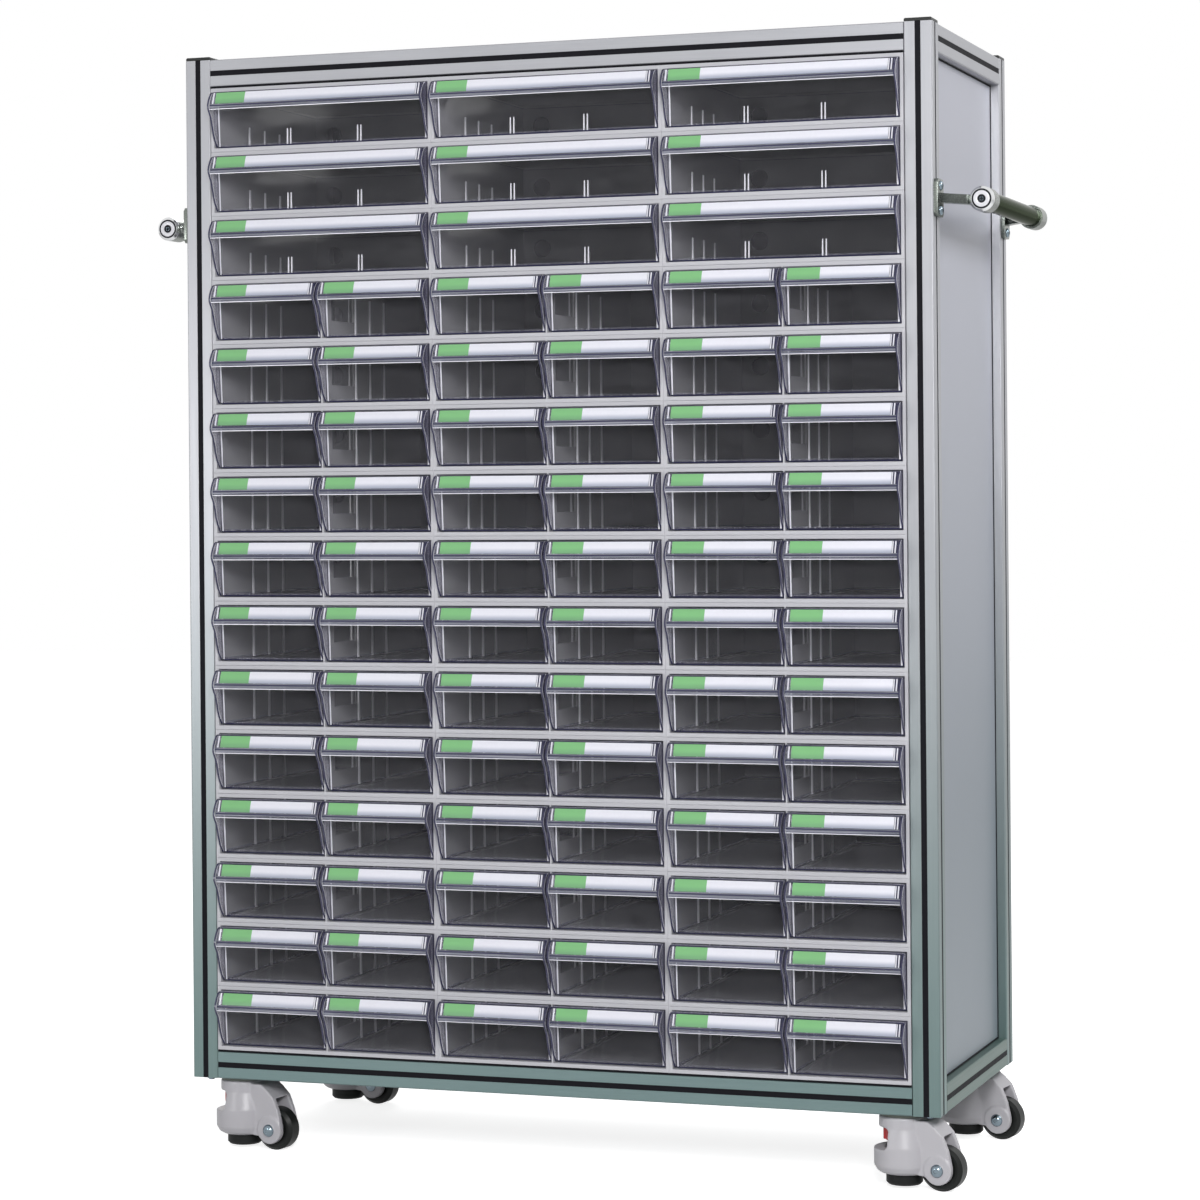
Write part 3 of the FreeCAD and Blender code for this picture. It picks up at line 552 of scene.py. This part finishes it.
def front_wall(level):
    """The tub's front wall leans forward: y = foot - lean * level / height."""
    return FOOT_BACK - WALL_LEAN * level / DRAWER_HEIGHT


def rounded_rectangle(half_x, half_y, radius, corner_steps=4):
    """Quarter circles of the radius about four corner centres, read anticlockwise."""
    quarter = np.linspace(0, np.pi / 2, corner_steps + 1)
    angle = np.concatenate([quarter + turn * np.pi / 2 for turn in range(4)])
    side = np.repeat([[1, 1], [-1, 1], [-1, -1], [1, -1]], corner_steps + 1, 0)
    centre = side * (np.array([half_x, half_y]) - radius)
    return centre + radius * np.stack([np.cos(angle), np.sin(angle)], 1)


TUB_CORNER, FRONT_CORNERS = 6.0, (10, 15)


def tub(width):
    """A rounded rectangle carried round the wall's own section. Each row of the section says how far
    the ring is drawn in and how high it lies: out, up the outside, over the rim, down and in."""
    bottom = 2.5
    rows = [(bottom, 0), (bottom * 0.3, bottom * 0.3), (0, bottom), (0, DRAWER_HEIGHT - 5),
            (0, DRAWER_HEIGHT - 0.5), (0.5, DRAWER_HEIGHT), (WALL - 0.5, DRAWER_HEIGHT),
            (WALL, DRAWER_HEIGHT - 0.5), (WALL, WALL + bottom),
            (WALL + bottom * 0.3, WALL + bottom * 0.3), (WALL + bottom, WALL)]
    rings = []
    for inset, level in rows:
        ring = rounded_rectangle(width / 2 - inset, DRAWER_LENGTH / 2 - inset, max(TUB_CORNER - inset, 0.6))
        rings.append(np.column_stack([ring, np.full(len(ring), level)]))
    points = np.array(rings) + np.array([0, DRAWER_LENGTH / 2, 0])
    points[..., 1] += (points[..., 1] < DRAWER_LENGTH / 2) * front_wall(points[..., 2])
    columns = points.shape[1]
    faces = grid_faces(len(rows), columns, around_columns=True)
    # Painted shade: the two rows round the tub's foot take the dark finish.
    kinds = [DARK_PAINTED_SHADE, DARK_PAINTED_SHADE, CLEAR, CLEAR, RIM, RIM, RIM, CLEAR, RIM, CLEAR]
    finish = np.repeat(kinds, columns).reshape(len(kinds), columns)
    # At the front corners the lilac finish is painted light, the bright one a painted highlight and the violet
    # one painted shade.
    left, right = FRONT_CORNERS
    finish[2, left:left + 4] = [LILAC_PAINTED_LIGHT, LILAC_PAINTED_LIGHT, RIM, BRIGHT_PAINTED_HIGHLIGHT]
    finish[2, right:right + 4] = [BRIGHT_PAINTED_HIGHLIGHT, RIM, VIOLET_PAINTED_SHADE, VIOLET_PAINTED_SHADE]
    finish = finish.ravel().tolist()
    return Form(points, faces + end_faces(len(rows), columns), finish + [CLEAR, CLEAR])


CHEEK_FRONT = np.array([
    (-9.0, 81.2), (-14.5, 78.6), (-19.5, 73.0), (-23.6, 66.0), (-25.5, 60.5), (-25.0, 56.5),
    (-21.5, 51.0), (-16.5, 44.5), (-12.0, 34.0), (-8.5, 23.0), (-3.0, 12.0), (6.6, 1.5)])


def cheek(left, body):
    """The fin between the nose and the tub. Its front outline is carried back to the tub in bands: a
    point of band s on outline point P is P + s * (W - P), where W is the tub's wall at P's level. Going
    round each station gives both sides and the rim, and the narrow bands near the rim carry its painted
    lines of shade and highlight."""
    outline = CHEEK_FRONT
    back = np.column_stack([front_wall(outline[:, 1]) + 0.6, outline[:, 1]])
    reach = np.linalg.norm(back - outline, axis=1)[:, None]
    bands = np.minimum(np.array([0, 0.7, 1.9, 3.2, 99.0]) / reach, 1.0)
    near = outline[:, None] + bands[:, :, None] * (back - outline)[:, None]
    ring = np.concatenate([near[:, ::-1], near], 1)
    across = np.repeat([left, left + WALL], bands.shape[1])
    points = np.concatenate([np.broadcast_to(across[None, :, None], (*ring.shape[:2], 1)), ring], 2)
    rows, columns = ring.shape[:2]
    faces = grid_faces(rows, columns, around_columns=True)
    # Painted light round the fin: the dark bands are painted shade and the bright band a painted highlight.
    around = [body, RIM, DARK_PAINTED_SHADE, DARK_PAINTED_SHADE, DARK_PAINTED_SHADE, DARK_PAINTED_SHADE, RIM, BRIGHT_PAINTED_HIGHLIGHT, body, CLEAR]
    finish = around * (rows - 1)
    return Form(points, faces + end_faces(rows, columns), finish + [RIM, DARK_PAINTED_SHADE])


def nose(width):
    """The label face, which leans a little, over a see-through finger grip, carried from cheek to cheek."""
    top, half = DRAWER_HEIGHT, width / 2 - WALL
    wall = front_wall(top) + 0.5
    section = np.array([
        (-9.0, top), LABEL_TOP, LABEL_LOW, (-19.8, 61.6), (-20.6, 59.4), (-21.4, 56.2), (-21.6, 55.4),
        (-21.4, 54.4), (-20.3, 54.4), (-19.4, 59.4), (-17.2, 61.4), (-10.9, 77.4), (-8.0, 79.0),
        (wall, 79.0), (wall, top)])
    form = bar_along_x(section, -half, half)
    # The dark faces are painted shade and the bright one a painted highlight along the grip.
    form.finish = [DARK_PAINTED_SHADE, CLEAR, LIP, DARK_PAINTED_SHADE, LIP, DARK_PAINTED_SHADE, BRIGHT_PAINTED_HIGHLIGHT, RIM] + [CLEAR] * 5 + [RIM] * 4
    return form


# %% [markdown]
# The label is two cards that meet end to end, a green one on the left and a white one beyond. They lie on
# the drawer's leaning label face, a little proud of it and bulging, and a ridged clear clip holds the
# right end.

# %% Label cards and clips
SLOPE_LENGTH = float(np.linalg.norm(LABEL_LOW - LABEL_TOP))
SLOPE = (LABEL_LOW - LABEL_TOP) / SLOPE_LENGTH
OUTWARD = np.array([SLOPE[1], -SLOPE[0]])
CARD_THICKNESS = 0.5
CARD_LEFT, CARD_RIGHT, GREEN_END = 9.8, 11.7, 56.3


def on_slope(x, down, out):
    """A point of the label face: x across, down along the slope and out along its normal."""
    y, z = LABEL_TOP + SLOPE * down + OUTWARD * out
    return [x, y, z]


def card(left, right, finish, crown=0.6, steps=6):
    """A thin sheet on the label face. Across its height it bulges like a shallow arch:
    out = thickness + crown * (1 - s * s), with s from -1 at the top edge to 1 at the bottom."""
    share = np.linspace(0, 1, steps + 1)
    down = 0.2 + (SLOPE_LENGTH - 0.5) * share
    bulge = CARD_THICKNESS + crown * (1 - (2 * share - 1) ** 2)
    front = np.array([[on_slope(x, d, out) for x in (left, right)] for d, out in zip(down, bulge)])
    back = np.array([[on_slope(x, d, 0.02) for x in (left, right)] for d in down])
    ring = np.concatenate([front, back[::-1]], 0)
    faces = [face[::-1] for face in grid_faces(len(ring), 2, around_rows=True)]
    faces.append([row * 2 for row in range(len(ring))][::-1])
    faces.append([row * 2 + 1 for row in range(len(ring))])
    return Form(ring, faces, finish)


def label(width):
    """The green card, then the white one up to the clip."""
    join = GREEN_END - width / 2
    return card(CARD_LEFT - width / 2, join, GREEN) + card(join, width / 2 - CARD_RIGHT, WHITE)


# The ridges' bright and dark finishes are painted highlights and painted shade.
CLIP_RIDGES = [(-10.4, 0.9, BRIGHT_PAINTED_HIGHLIGHT), (-8.6, 0.9, DARK_PAINTED_SHADE), (-6.6, 1.1, BRIGHT_PAINTED_HIGHLIGHT), (-4.6, 1.0, DARK_PAINTED_SHADE)]
LEFT_RIDGES = [(4.2, 0.9, RIM), (6.0, 1.1, BRIGHT_PAINTED_HIGHLIGHT), (8.2, 0.8, RIM)]


def clip(width):
    """Upright ridges beside the label, at its clip on the right and at its stop on the left. Each is a
    rounded bar down the face: x = place + radius * cos a, out = radius * sin a."""
    ridges = []
    arch = np.linspace(0, np.pi, 7)
    for side, row in ((1, CLIP_RIDGES), (-1, LEFT_RIDGES)):
        for place, radius, finish in row:
            x = side * width / 2 + place
            profile = np.column_stack([x + radius * np.cos(arch), 0.05 + 1.3 * radius * np.sin(arch)])
            points = np.array([[on_slope(u, down, v) for u, v in profile]
                               for down in (0.6, SLOPE_LENGTH - 0.2)])
            faces = grid_faces(2, len(profile), around_columns=True) + end_faces(2, len(profile))
            ridges.append(Form(points, faces, finish))
    return joined(ridges)


# %% [markdown]
# Inside, upright ribs on the side walls take loose dividers. They stand 55 mm apart, and the wide drawer
# has pairs of short ones on its front and back walls as well. Their opaque near-white is a painted
# highlight for the bright lines that they show.

# %% Ribs inside the drawers
RIB_PITCH, RIB_FIRST, RIB_COUNT = 54.8, 117.0, 3
RIB_WIDTH, RIB_DEPTH, PAIR_HEIGHT, PAIR_APART = 4.2, 2.6, 26.0, 2.6


def rib(x, y, height, width, depth):
    """A tapered upright bar: its section shrinks a little towards the top."""
    low, high = WALL - 0.2, height
    ring = np.array([(-0.5, -0.5), (0.5, -0.5), (0.5, 0.5), (-0.5, 0.5)]) * [width, depth]
    origins = [[x, y, low], [x, y, high]]
    # The rib's bright finish is a painted highlight.
    return carried(ring, origins, [[1, 0, 0], [0.7, 0, 0]], [[0, 1, 0], [0, 0.7, 0]], BRIGHT_PAINTED_HIGHLIGHT)


def ribs(width, height, pairs):
    inner = width / 2 - WALL
    made = []
    for step in range(RIB_COUNT):
        y = RIB_FIRST + step * RIB_PITCH
        made += [rib(side * (inner - RIB_DEPTH / 2 + 0.3), y, height, RIB_DEPTH, RIB_WIDTH)
                 for side in (-1, 1)]
    for share in pairs:
        for apart in (-PAIR_APART, PAIR_APART):
            x = -inner + 2 * inner * share + apart
            near = front_wall(0) + WALL + RIB_DEPTH / 2 - 0.3
            made += [rib(x, y, PAIR_HEIGHT, RIB_WIDTH * 0.45, RIB_DEPTH)
                     for y in (near, DRAWER_LENGTH - WALL - RIB_DEPTH / 2 + 0.3)]
    return joined(made)


def clear_drawer(width, rib_height, pairs=()):
    half = width / 2
    # The left cheek is the lit lilac copy of the clear plastic and the right one the shaded violet copy: painted
    # light and painted shade.
    return (tub(width) + cheek(-half, LILAC_PAINTED_LIGHT) + cheek(half - WALL, VIOLET_PAINTED_SHADE) + nose(width) + clip(width)
            + ribs(width, rib_height, pairs))


WIDE_SHELL = clear_drawer(WIDE_WIDTH, 42.0, pairs=(0.34, 0.675))
SMALL_SHELL = clear_drawer(SMALL_WIDTH, 62.0)
WIDE_LABEL, SMALL_LABEL = label(WIDE_WIDTH), label(SMALL_WIDTH)
print("faces of a wide and of a small drawer:", len(WIDE_SHELL.faces), len(SMALL_SHELL.faces))

# %% Where the drawers stand
MODULE_WIDTH, MODULE_HEIGHT = 348.0, 94.4
FRONT_Y, STACK_HIGH, DRAWER_FOOT = -227.0, 1564.0, 6.1
SMALL_OFFSET = 85.125
COLUMN_X = {"left": -MODULE_WIDTH, "middle": 0.0, "right": MODULE_WIDTH}
DRAWER_FINISHES = [FINISHES[key] for key in (
    "clear_wall", "clear_rim", "clear_lip", "clear_dark_painted_shade", "clear_bright_painted_highlight", "card_white", "card_green",
    "clear_violet_painted_shade", "clear_lilac_painted_light")]


def gathered(form, places):
    """The same form at several places, joined."""
    return joined([form.shifted(*place) for place in places])


def row_level(row):
    return STACK_HIGH - row * MODULE_HEIGHT + DRAWER_FOOT


for body in frame["bodies"]:
    if "drawer" not in body:
        continue
    words = body.split("_")
    column = COLUMN_X[words[-1]]
    if body.startswith("wide"):
        shell, cards = WIDE_SHELL, WIDE_LABEL
        places = [(column, FRONT_Y, row_level(int(words[3])))]
    else:
        shell, cards = SMALL_SHELL, SMALL_LABEL
        rows = (int(words[3]), int(words[5]))
        places = [(column + offset, FRONT_Y, row_level(row))
                  for row in rows for offset in (-SMALL_OFFSET, SMALL_OFFSET)]
    make_piece(body + "_clear", gathered(shell, places), DRAWER_FINISHES, body,
               replaced=(body,))
    make_piece(body + "_labels", gathered(cards, places), DRAWER_FINISHES, body)

# %% [markdown]
# The bars, the post caps, the brackets and the housings have sharp edges in the measured model. Real
# ones are small rounds, which is why a bright line runs along each bar and lip and a dark dot sits where
# four housings meet. A copy of the node is merged, its flat areas are joined to single faces, and a
# Bevel rounds its edges.

# %% Copies with rounded edges
def merged_copy(node):
    """The node's mesh as a new bmesh, with doubled points merged and flat neighbours joined."""
    shape = bmesh.new()
    shape.from_mesh(frame["nodes"][node].data)
    bmesh.ops.remove_doubles(shape, verts=shape.verts, dist=2e-6)
    bmesh.ops.dissolve_limit(shape, angle_limit=math.radians(1), verts=shape.verts, edges=shape.edges)
    return shape


def piece_from(shape, name, finish, body, replaced):
    mesh = bpy.data.meshes.new(name)
    shape.to_mesh(mesh)
    shape.free()
    mesh.materials.clear()
    mesh.materials.append(finish)
    piece = bpy.data.objects.new(name, mesh)
    bpy.context.scene.collection.objects.link(piece)
    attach(piece, body)
    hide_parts(*replaced)
    return piece


def rounded_copy(node, finish, radius):
    """The node's own shape with its edges rounded."""
    piece = piece_from(merged_copy(node), node + "_rounded", FINISHES[finish], "cabinet", (node,))
    round_edges(piece, radius).use_clamp_overlap = True
    piece.data.shade_smooth()
    piece.data.set_sharp_from_angle(angle=math.radians(50))


rounded_copy("handle_brackets", "bracket", radius=1.0)
for bars, way in (("corner_posts", "z"), ("cross_rails", "x"), ("side_rails", "y")):
    rounded_copy(bars, "bars_along_" + way, radius=0.7)
rounded_copy("post_caps", "black_cap", radius=1.5)

# %% [markdown]
# Neighbouring housings touch, so merging the whole node would weld them together. One housing of each
# kind is cut out of the node instead, by the box that it stands in, and is cleaned and repeated.

# %% Drawer housings
def one_housing(node, column, row):
    """The faces of one housing, merged, with flat neighbours joined, and moved to the middle of its foot."""
    mesh = frame["nodes"][node].data
    corners = np.empty(len(mesh.vertices) * 3)
    mesh.vertices.foreach_get("co", corners)
    corners = corners.reshape(-1, 3) / MM
    foot = np.array([column, 0, STACK_HIGH - row * MODULE_HEIGHT])
    middle = np.array([corners[list(face.vertices)].mean(0) for face in mesh.polygons])
    mine = (abs(middle[:, 0] - foot[0]) < MODULE_WIDTH / 2 + 0.01) & (middle[:, 2] > foot[2] - 0.01)
    mine &= middle[:, 2] < foot[2] + MODULE_HEIGHT + 0.01
    shape = bmesh.new()
    for index in np.flatnonzero(mine):
        loop = [shape.verts.new(corners[v] - foot) for v in mesh.polygons[index].vertices]
        shape.faces.new(loop)
    bmesh.ops.remove_doubles(shape, verts=shape.verts, dist=0.002)
    stray = [face for face in shape.faces if all(not edge.is_manifold for edge in face.edges)]
    bmesh.ops.delete(shape, geom=stray, context="FACES")
    bmesh.ops.dissolve_limit(shape, angle_limit=math.radians(1), verts=shape.verts, edges=shape.edges)
    shape.verts.index_update()
    open_edges = sum(not edge.is_manifold for edge in shape.edges)
    print(node, "one housing:", len(shape.verts), "points,", open_edges, "open edges")
    form = Form([tuple(v.co) for v in shape.verts], [[v.index for v in f.verts] for f in shape.faces])
    shape.free()
    return form


def all_housings(node, rows):
    one = one_housing(node, 0.0, rows[0])
    places = [(x, 0, STACK_HIGH - row * MODULE_HEIGHT) for x in COLUMN_X.values() for row in rows]
    make_piece(node + "_rounded", gathered(one, places), [FINISHES["housing"]], "cabinet",
               sharp_degrees=50, bevel=0.7, replaced=(node,))


all_housings("wide_drawer_housings", range(1, 4))
all_housings("small_drawer_housings", range(4, 16))

# %% [markdown]
# A castor's housing is a sand-smooth casting, so none of its edges is sharp. A copy of the node is
# rebuilt from small cubes of space, which ties the neck, skirt, fork and boss into one skin, and the skin
# is then smoothed, which rounds each edge by about a cube's width and fills each inner corner.

# %% Castor housings
CUBE = 1.15
SMOOTHING = 6


def largest_island(shape):
    """Delete every point that isn't joined to the solid with the most points."""
    left, islands = set(shape.verts), []
    while left:
        island, edge = set(), [left.pop()]
        while edge:
            vert = edge.pop()
            island.add(vert)
            near = {link.other_vert(vert) for link in vert.link_edges} & left
            left -= near
            edge += near
        islands.append(island)
    keep = max(islands, key=len)
    bmesh.ops.delete(shape, geom=[v for v in shape.verts if v not in keep], context="VERTS")


def cast_housing(corner):
    node = "castor_housing_" + corner
    shape = bmesh.new()
    shape.from_mesh(frame["nodes"][node].data)
    bmesh.ops.remove_doubles(shape, verts=shape.verts, dist=2e-6)
    largest_island(shape)
    piece = piece_from(shape, node + "_cast", FINISHES["castor"], node, (node,))
    cubes = piece.modifiers.new("cubes", "REMESH")
    cubes.mode = "VOXEL"
    cubes.voxel_size = CUBE * MM
    cubes.use_smooth_shade = True
    smooth = piece.modifiers.new("smoothed", "SMOOTH")
    smooth.factor = 0.5
    smooth.iterations = SMOOTHING


CASTORS = {"front_left": (-500.5, -182.0), "front_right": (500.5, -182.0),
           "rear_left": (-500.5, 208.0), "rear_right": (500.5, 208.0)}
for corner in CASTORS:
    cast_housing(corner)

# %% [markdown]
# Screws and bolts are turned: a dome is a quarter of an ellipse, radius * cos t by height * sin t, swept
# round its axis. The hexagon socket in a bracket's screw is part of the same surface: on its inner rows
# the radius follows six straight sides instead of a circle.

# %% Domed screws
def domed_screw(diameter, height, socket, depth, segments=36, dome_steps=6):
    """Rows from the flat underside over the dome and down into a hexagon socket, turned about Z."""
    angle = np.linspace(0, 2 * np.pi, segments, endpoint=False)
    six = math.cos(math.pi / 6) / np.cos((angle % (math.pi / 3)) - math.pi / 6)
    quarter = np.linspace(0, 1, dome_steps + 1)
    radius = diameter / 2
    widths = radius * np.cos(np.arccos(socket / radius) * quarter)
    levels = height * np.sqrt(np.clip(1 - (widths / radius) ** 2, 0, 1))
    round_one = np.ones_like(six)
    rows = [(radius * 0.98, -0.05, round_one), (radius, 0.25, round_one)]
    rows += [(w, max(h, 0.3), round_one) for w, h in zip(widths[1:], levels[1:])]
    rows += [(socket * 0.86, levels[-1] - 0.15, six), (socket * 0.8, levels[-1] - depth, six)]
    points = np.array([np.column_stack([w * ring * np.cos(angle), w * ring * np.sin(angle),
                                        np.full(segments, h)]) for w, h, ring in rows])
    faces = grid_faces(len(rows), segments, around_columns=True)
    return Form(points, faces + end_faces(len(rows), segments))


def facing(axis):
    """The turning matrix that points Z along an axis."""
    along = np.array(axis, float)
    other = np.array([0, 0, 1.0]) if abs(along[2]) < 0.5 else np.array([0, 1.0, 0])
    side = np.cross(other, along)
    return np.column_stack([side, np.cross(along, side), along])


FRAME_SIDE, POST_Y, HANDLE_LEVEL = 562.5, (-207.0, 233.0), 1364.0
HANDLE_X, CAP_Y, POST_X, FRAME_FOOT = 618.5, (-174.8, 200.8), 542.5, 106.0
bracket_screw = domed_screw(diameter=14.0, height=4.0, socket=3.6, depth=2.4)
cap_screw = domed_screw(diameter=11.0, height=1.7, socket=2.4, depth=1.2)
post_bolt = domed_screw(diameter=14.0, height=6.5, socket=3.8, depth=3.0)
screws = []
for side in (-1, 1):
    for y, end_y, end in zip(POST_Y, CAP_Y, (-1, 1)):
        for level in (-17.0, 17.0):
            turned = bracket_screw.turned(facing((side, 0, 0)))
            screws.append(turned.shifted(side * (FRAME_SIDE + 6.0), y, HANDLE_LEVEL + level))
        screws.append(cap_screw.turned(facing((0, end, 0))).shifted(side * HANDLE_X, end_y, HANDLE_LEVEL))
        screws.append(post_bolt.turned(facing((0, 0, -1))).shifted(side * POST_X, y, FRAME_FOOT))
make_piece("screws", joined(screws), [FINISHES["bolt"]], "cabinet", replaced=("fasteners",))

# %% [markdown]
# Black sealing strips close the joints round each side panel. Two more black strips between the drawer
# stack and the rails are painted shadow, for the dark line where shade falls in that gap.
# A strip is a low half-round carried from end to end: across = radius * cos a, out = height * sin a.

# %% Sealing strips and painted shadow lines
def strip(start, end, outward, radius, height):
    """A half-round bar. Its two directions are the outward one and the one across strip and outward."""
    along = np.array(end, float) - np.array(start, float)
    outward = np.array(outward, float)
    across = np.cross(outward, along / np.linalg.norm(along))
    angle = np.linspace(0, np.pi, 7)
    profile = np.column_stack([radius * np.cos(angle), height * np.sin(angle)])
    return carried(profile, [start, end], [across] * 2, [outward] * 2)


STACK_HALF, GAP_LEVELS = 522.0, (147.0, 1565.0)
# Painted shadow: these two strips between the drawer stack and the rails stand for the dark shadow line in that
# gap.
strips = [strip((-STACK_HALF, FRONT_Y + 0.2, z), (STACK_HALF, FRONT_Y + 0.2, z), (0, -1, 0), 1.5, 0.8)
          for z in GAP_LEVELS]
PANEL_FRONT, PANEL_REAR, PANEL_LOW, PANEL_HIGH, SEAL = -187.0, 213.0, 146.0, 1566.0, 1.3
for side, node in ((1, "right_side_panel"), (-1, "left_side_panel")):
    low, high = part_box(node)
    face = (high.x if side > 0 else low.x) / MM
    for y in (PANEL_FRONT + SEAL, PANEL_REAR - SEAL):
        strips.append(strip((face, y, PANEL_LOW), (face, y, PANEL_HIGH), (side, 0, 0), SEAL, 1.2))
    for z in (PANEL_LOW + SEAL, PANEL_HIGH - SEAL):
        strips.append(strip((face, PANEL_FRONT, z), (face, PANEL_REAR, z), (side, 0, 0), SEAL, 1.2))
    print(node, "outer face at", round(face, 2))
make_piece("seals_and_painted_shadow_strips", joined(strips), [FINISHES["black_strip"]], "cabinet")

# %% [markdown]
# Each handle ends in a bright cap. On its face lies an enamelled disc with a near-black ring round it,
# painted shade for the groove there, and in the disc's middle sits a screw with a cross in its head, the
# cross also painted shade in that dark finish. All three are turned about the handle's axis.

# %% End discs of the handles
CAP_FACE, SCREW_TOP, CROSS_REACH = 1.2, 1.7, 3.4
DISC = [(5.8, -0.6), (11.4, -0.6), (11.4, 0.5), (10.9, 0.8), (6.6, 0.55), (5.8, 0.2)]
GROOVE = [(11.3, -0.4), (13.9, -0.4), (13.9, 0.25), (11.3, 0.25)]
discs, grooves = [], []
for side in (-1, 1):
    for y, end in zip(CAP_Y, (-1, 1)):
        turn, axis = facing((0, end, 0)), (0, end, 0)
        place = (side * HANDLE_X, y + end * CAP_FACE, HANDLE_LEVEL)
        discs.append(turned_ring(DISC, 48).turned(turn).shifted(*place))
        grooves.append(turned_ring(GROOVE, 48).turned(turn).shifted(*place))
        x, top, z = side * HANDLE_X, y + end * SCREW_TOP, HANDLE_LEVEL
        # The cross in the screw's head is painted shade.
        grooves += [strip((x - a, top, z - b), (x + a, top, z + b), axis, 0.5, 0.3)
                    for a, b in ((CROSS_REACH, 0), (0, CROSS_REACH))]
make_piece("end_discs", joined(discs), [FINISHES["disc"]], "cabinet")
make_piece("end_disc_painted_groove_shade", joined(grooves), [FINISHES["outline"]], "cabinet")

# %% Axle bolts
TRAIL, AXLE_LEVEL, BOSS_HALF, REST_DEGREES = 58.5, 31.0, 26.0, -9.0
rest = math.radians(REST_DEGREES)
for corner, (x, y) in CASTORS.items():
    axle = np.array([math.sin(-rest), math.cos(rest), 0])
    middle = np.array([x + TRAIL * math.cos(rest), y + TRAIL * math.sin(rest), AXLE_LEVEL])
    head = domed_screw(diameter=18.4, height=6.6, socket=3.4, depth=0.6)
    ends = [head.turned(facing(end * axle)).shifted(*(middle + end * BOSS_HALF * axle)) for end in (-1, 1)]
    make_piece("axle_bolt_" + corner, joined(ends), [FINISHES["bolt"]], "castor_housing_" + corner)

# %% [markdown]
# The studio: a white floor that stays white to the camera but takes a shadow, a plain white world for
# what is seen and mirrored, and a few soft lamps. The photograph is bright at the top and falls off
# downwards, so the main lamp hangs high in front.

# %% Floor
def floor_finish():
    finish = Finish("studio_floor")
    seen = finish.node("ShaderNodeLightPath", out="Is Camera Ray")
    mirrored = finish.node("ShaderNodeLightPath", out="Is Glossy Ray")
    return finish.finished(Base_Color=(0.8, 0.8, 0.8), Roughness=0.9, Specular_IOR_Level=0.0,
                           Emission_Color=(1, 1, 1), Emission_Strength=seen * 0.82 + mirrored * 0.4)


def build_floor(reach=14.0, steps=8):
    """A flat grid at floor level: x and y run evenly from -reach to reach."""
    line = np.linspace(-reach, reach, steps)
    x, y = np.meshgrid(line, line)
    points = np.stack([x, y, np.full_like(x, -0.0005)], -1).reshape(-1, 3)
    mesh = bpy.data.meshes.new("studio_floor")
    mesh.from_pydata(points.tolist(), [], grid_faces(steps, steps))
    mesh.materials.append(floor_finish())
    floor = bpy.data.objects.new("studio_floor", mesh)
    bpy.context.scene.collection.objects.link(floor)


build_floor()


# %% World
def build_world(lit=0.26):
    world = bpy.data.worlds.new("studio_world")
    world.use_nodes = True
    tree = world.node_tree
    tree.nodes.clear()
    rays = tree.nodes.new("ShaderNodeLightPath")
    total = rays.outputs["Is Camera Ray"]
    for name in ("Is Glossy Ray", "Is Transmission Ray"):
        larger = tree.nodes.new("ShaderNodeMath")
        larger.operation = "MAXIMUM"
        tree.links.new(total, larger.inputs[0])
        tree.links.new(rays.outputs[name], larger.inputs[1])
        total = larger.outputs[0]
    strength = tree.nodes.new("ShaderNodeMapRange")
    strength.inputs["To Min"].default_value = lit
    strength.inputs["To Max"].default_value = 1.0
    tree.links.new(total, strength.inputs["Value"])
    background = tree.nodes.new("ShaderNodeBackground")
    background.inputs["Color"].default_value = (1, 1, 1, 1)
    tree.links.new(strength.outputs[0], background.inputs["Strength"])
    output = tree.nodes.new("ShaderNodeOutputWorld")
    tree.links.new(background.outputs[0], output.inputs["Surface"])
    bpy.context.scene.world = world


build_world()


# %% Lamps
def soft_lamp(name, place, target, size, watts):
    """A square lamp that points from its place to a target."""
    lamp = bpy.data.lights.new(name, "AREA")
    lamp.size = size
    lamp.energy = watts
    thing = bpy.data.objects.new(name, lamp)
    direction = np.array(target, float) - np.array(place, float)
    direction /= np.linalg.norm(direction)
    side = np.cross(direction, (0, 0, 1.0))
    side /= np.linalg.norm(side)
    above = np.cross(side, direction)
    rows = [[side[i], above[i], -direction[i], place[i]] for i in range(3)]
    thing.matrix_world = Matrix(rows + [[0, 0, 0, 1]])
    bpy.context.scene.collection.objects.link(thing)


soft_lamp("key_lamp", (1.5, -3.7, 2.1), (0, 0, 0.9), size=1.1, watts=102)
soft_lamp("left_lamp", (-2.25, -3.8, 0.86), (-0.5, -0.2, 0.88), size=0.7, watts=20)
soft_lamp("side_lamp", (2.9, 0.3, 2.7), (0.56, 0, 1.2), size=0.9, watts=34)
soft_lamp("back_lamp", (-1.5, 3.6, 3.0), (0, 0, 0.9), size=2.2, watts=60)

# %% [markdown]
# The camera stands to the right of the cabinet at about chest height and looks almost level. Its place
# and its turn were worked out from the edges of the posts and rails in the photograph. The picture is
# not centred on the lens's axis, so the lens is shifted too.

# %% Camera
CAMERA_PLACE = (1.60533, -4.72916, 0.96412)
CAMERA_RIGHT = (0.942619, 0.333771, -0.008220)
CAMERA_DOWN = (-0.008033, -0.001940, -0.999966)
CAMERA_AHEAD = (-0.333775, 0.942652, 0.000852)
SENSOR, LENS = 36.0, 100.872
SHIFT_RIGHT, SHIFT_UP = 0.0375, -0.0917

camera = bpy.data.cameras.new("camera")
camera.sensor_width = SENSOR
camera.lens = LENS
camera.shift_x, camera.shift_y = SHIFT_RIGHT, SHIFT_UP
camera.clip_end = 60.0
holder = bpy.data.objects.new("camera", camera)
rows = zip(CAMERA_RIGHT, (-v for v in CAMERA_DOWN), (-v for v in CAMERA_AHEAD), CAMERA_PLACE)
holder.matrix_world = Matrix([list(row) for row in rows] + [[0, 0, 0, 1]])
bpy.context.scene.collection.objects.link(holder)
bpy.context.scene.camera = holder
bpy.context.scene.view_settings.view_transform = "Standard"
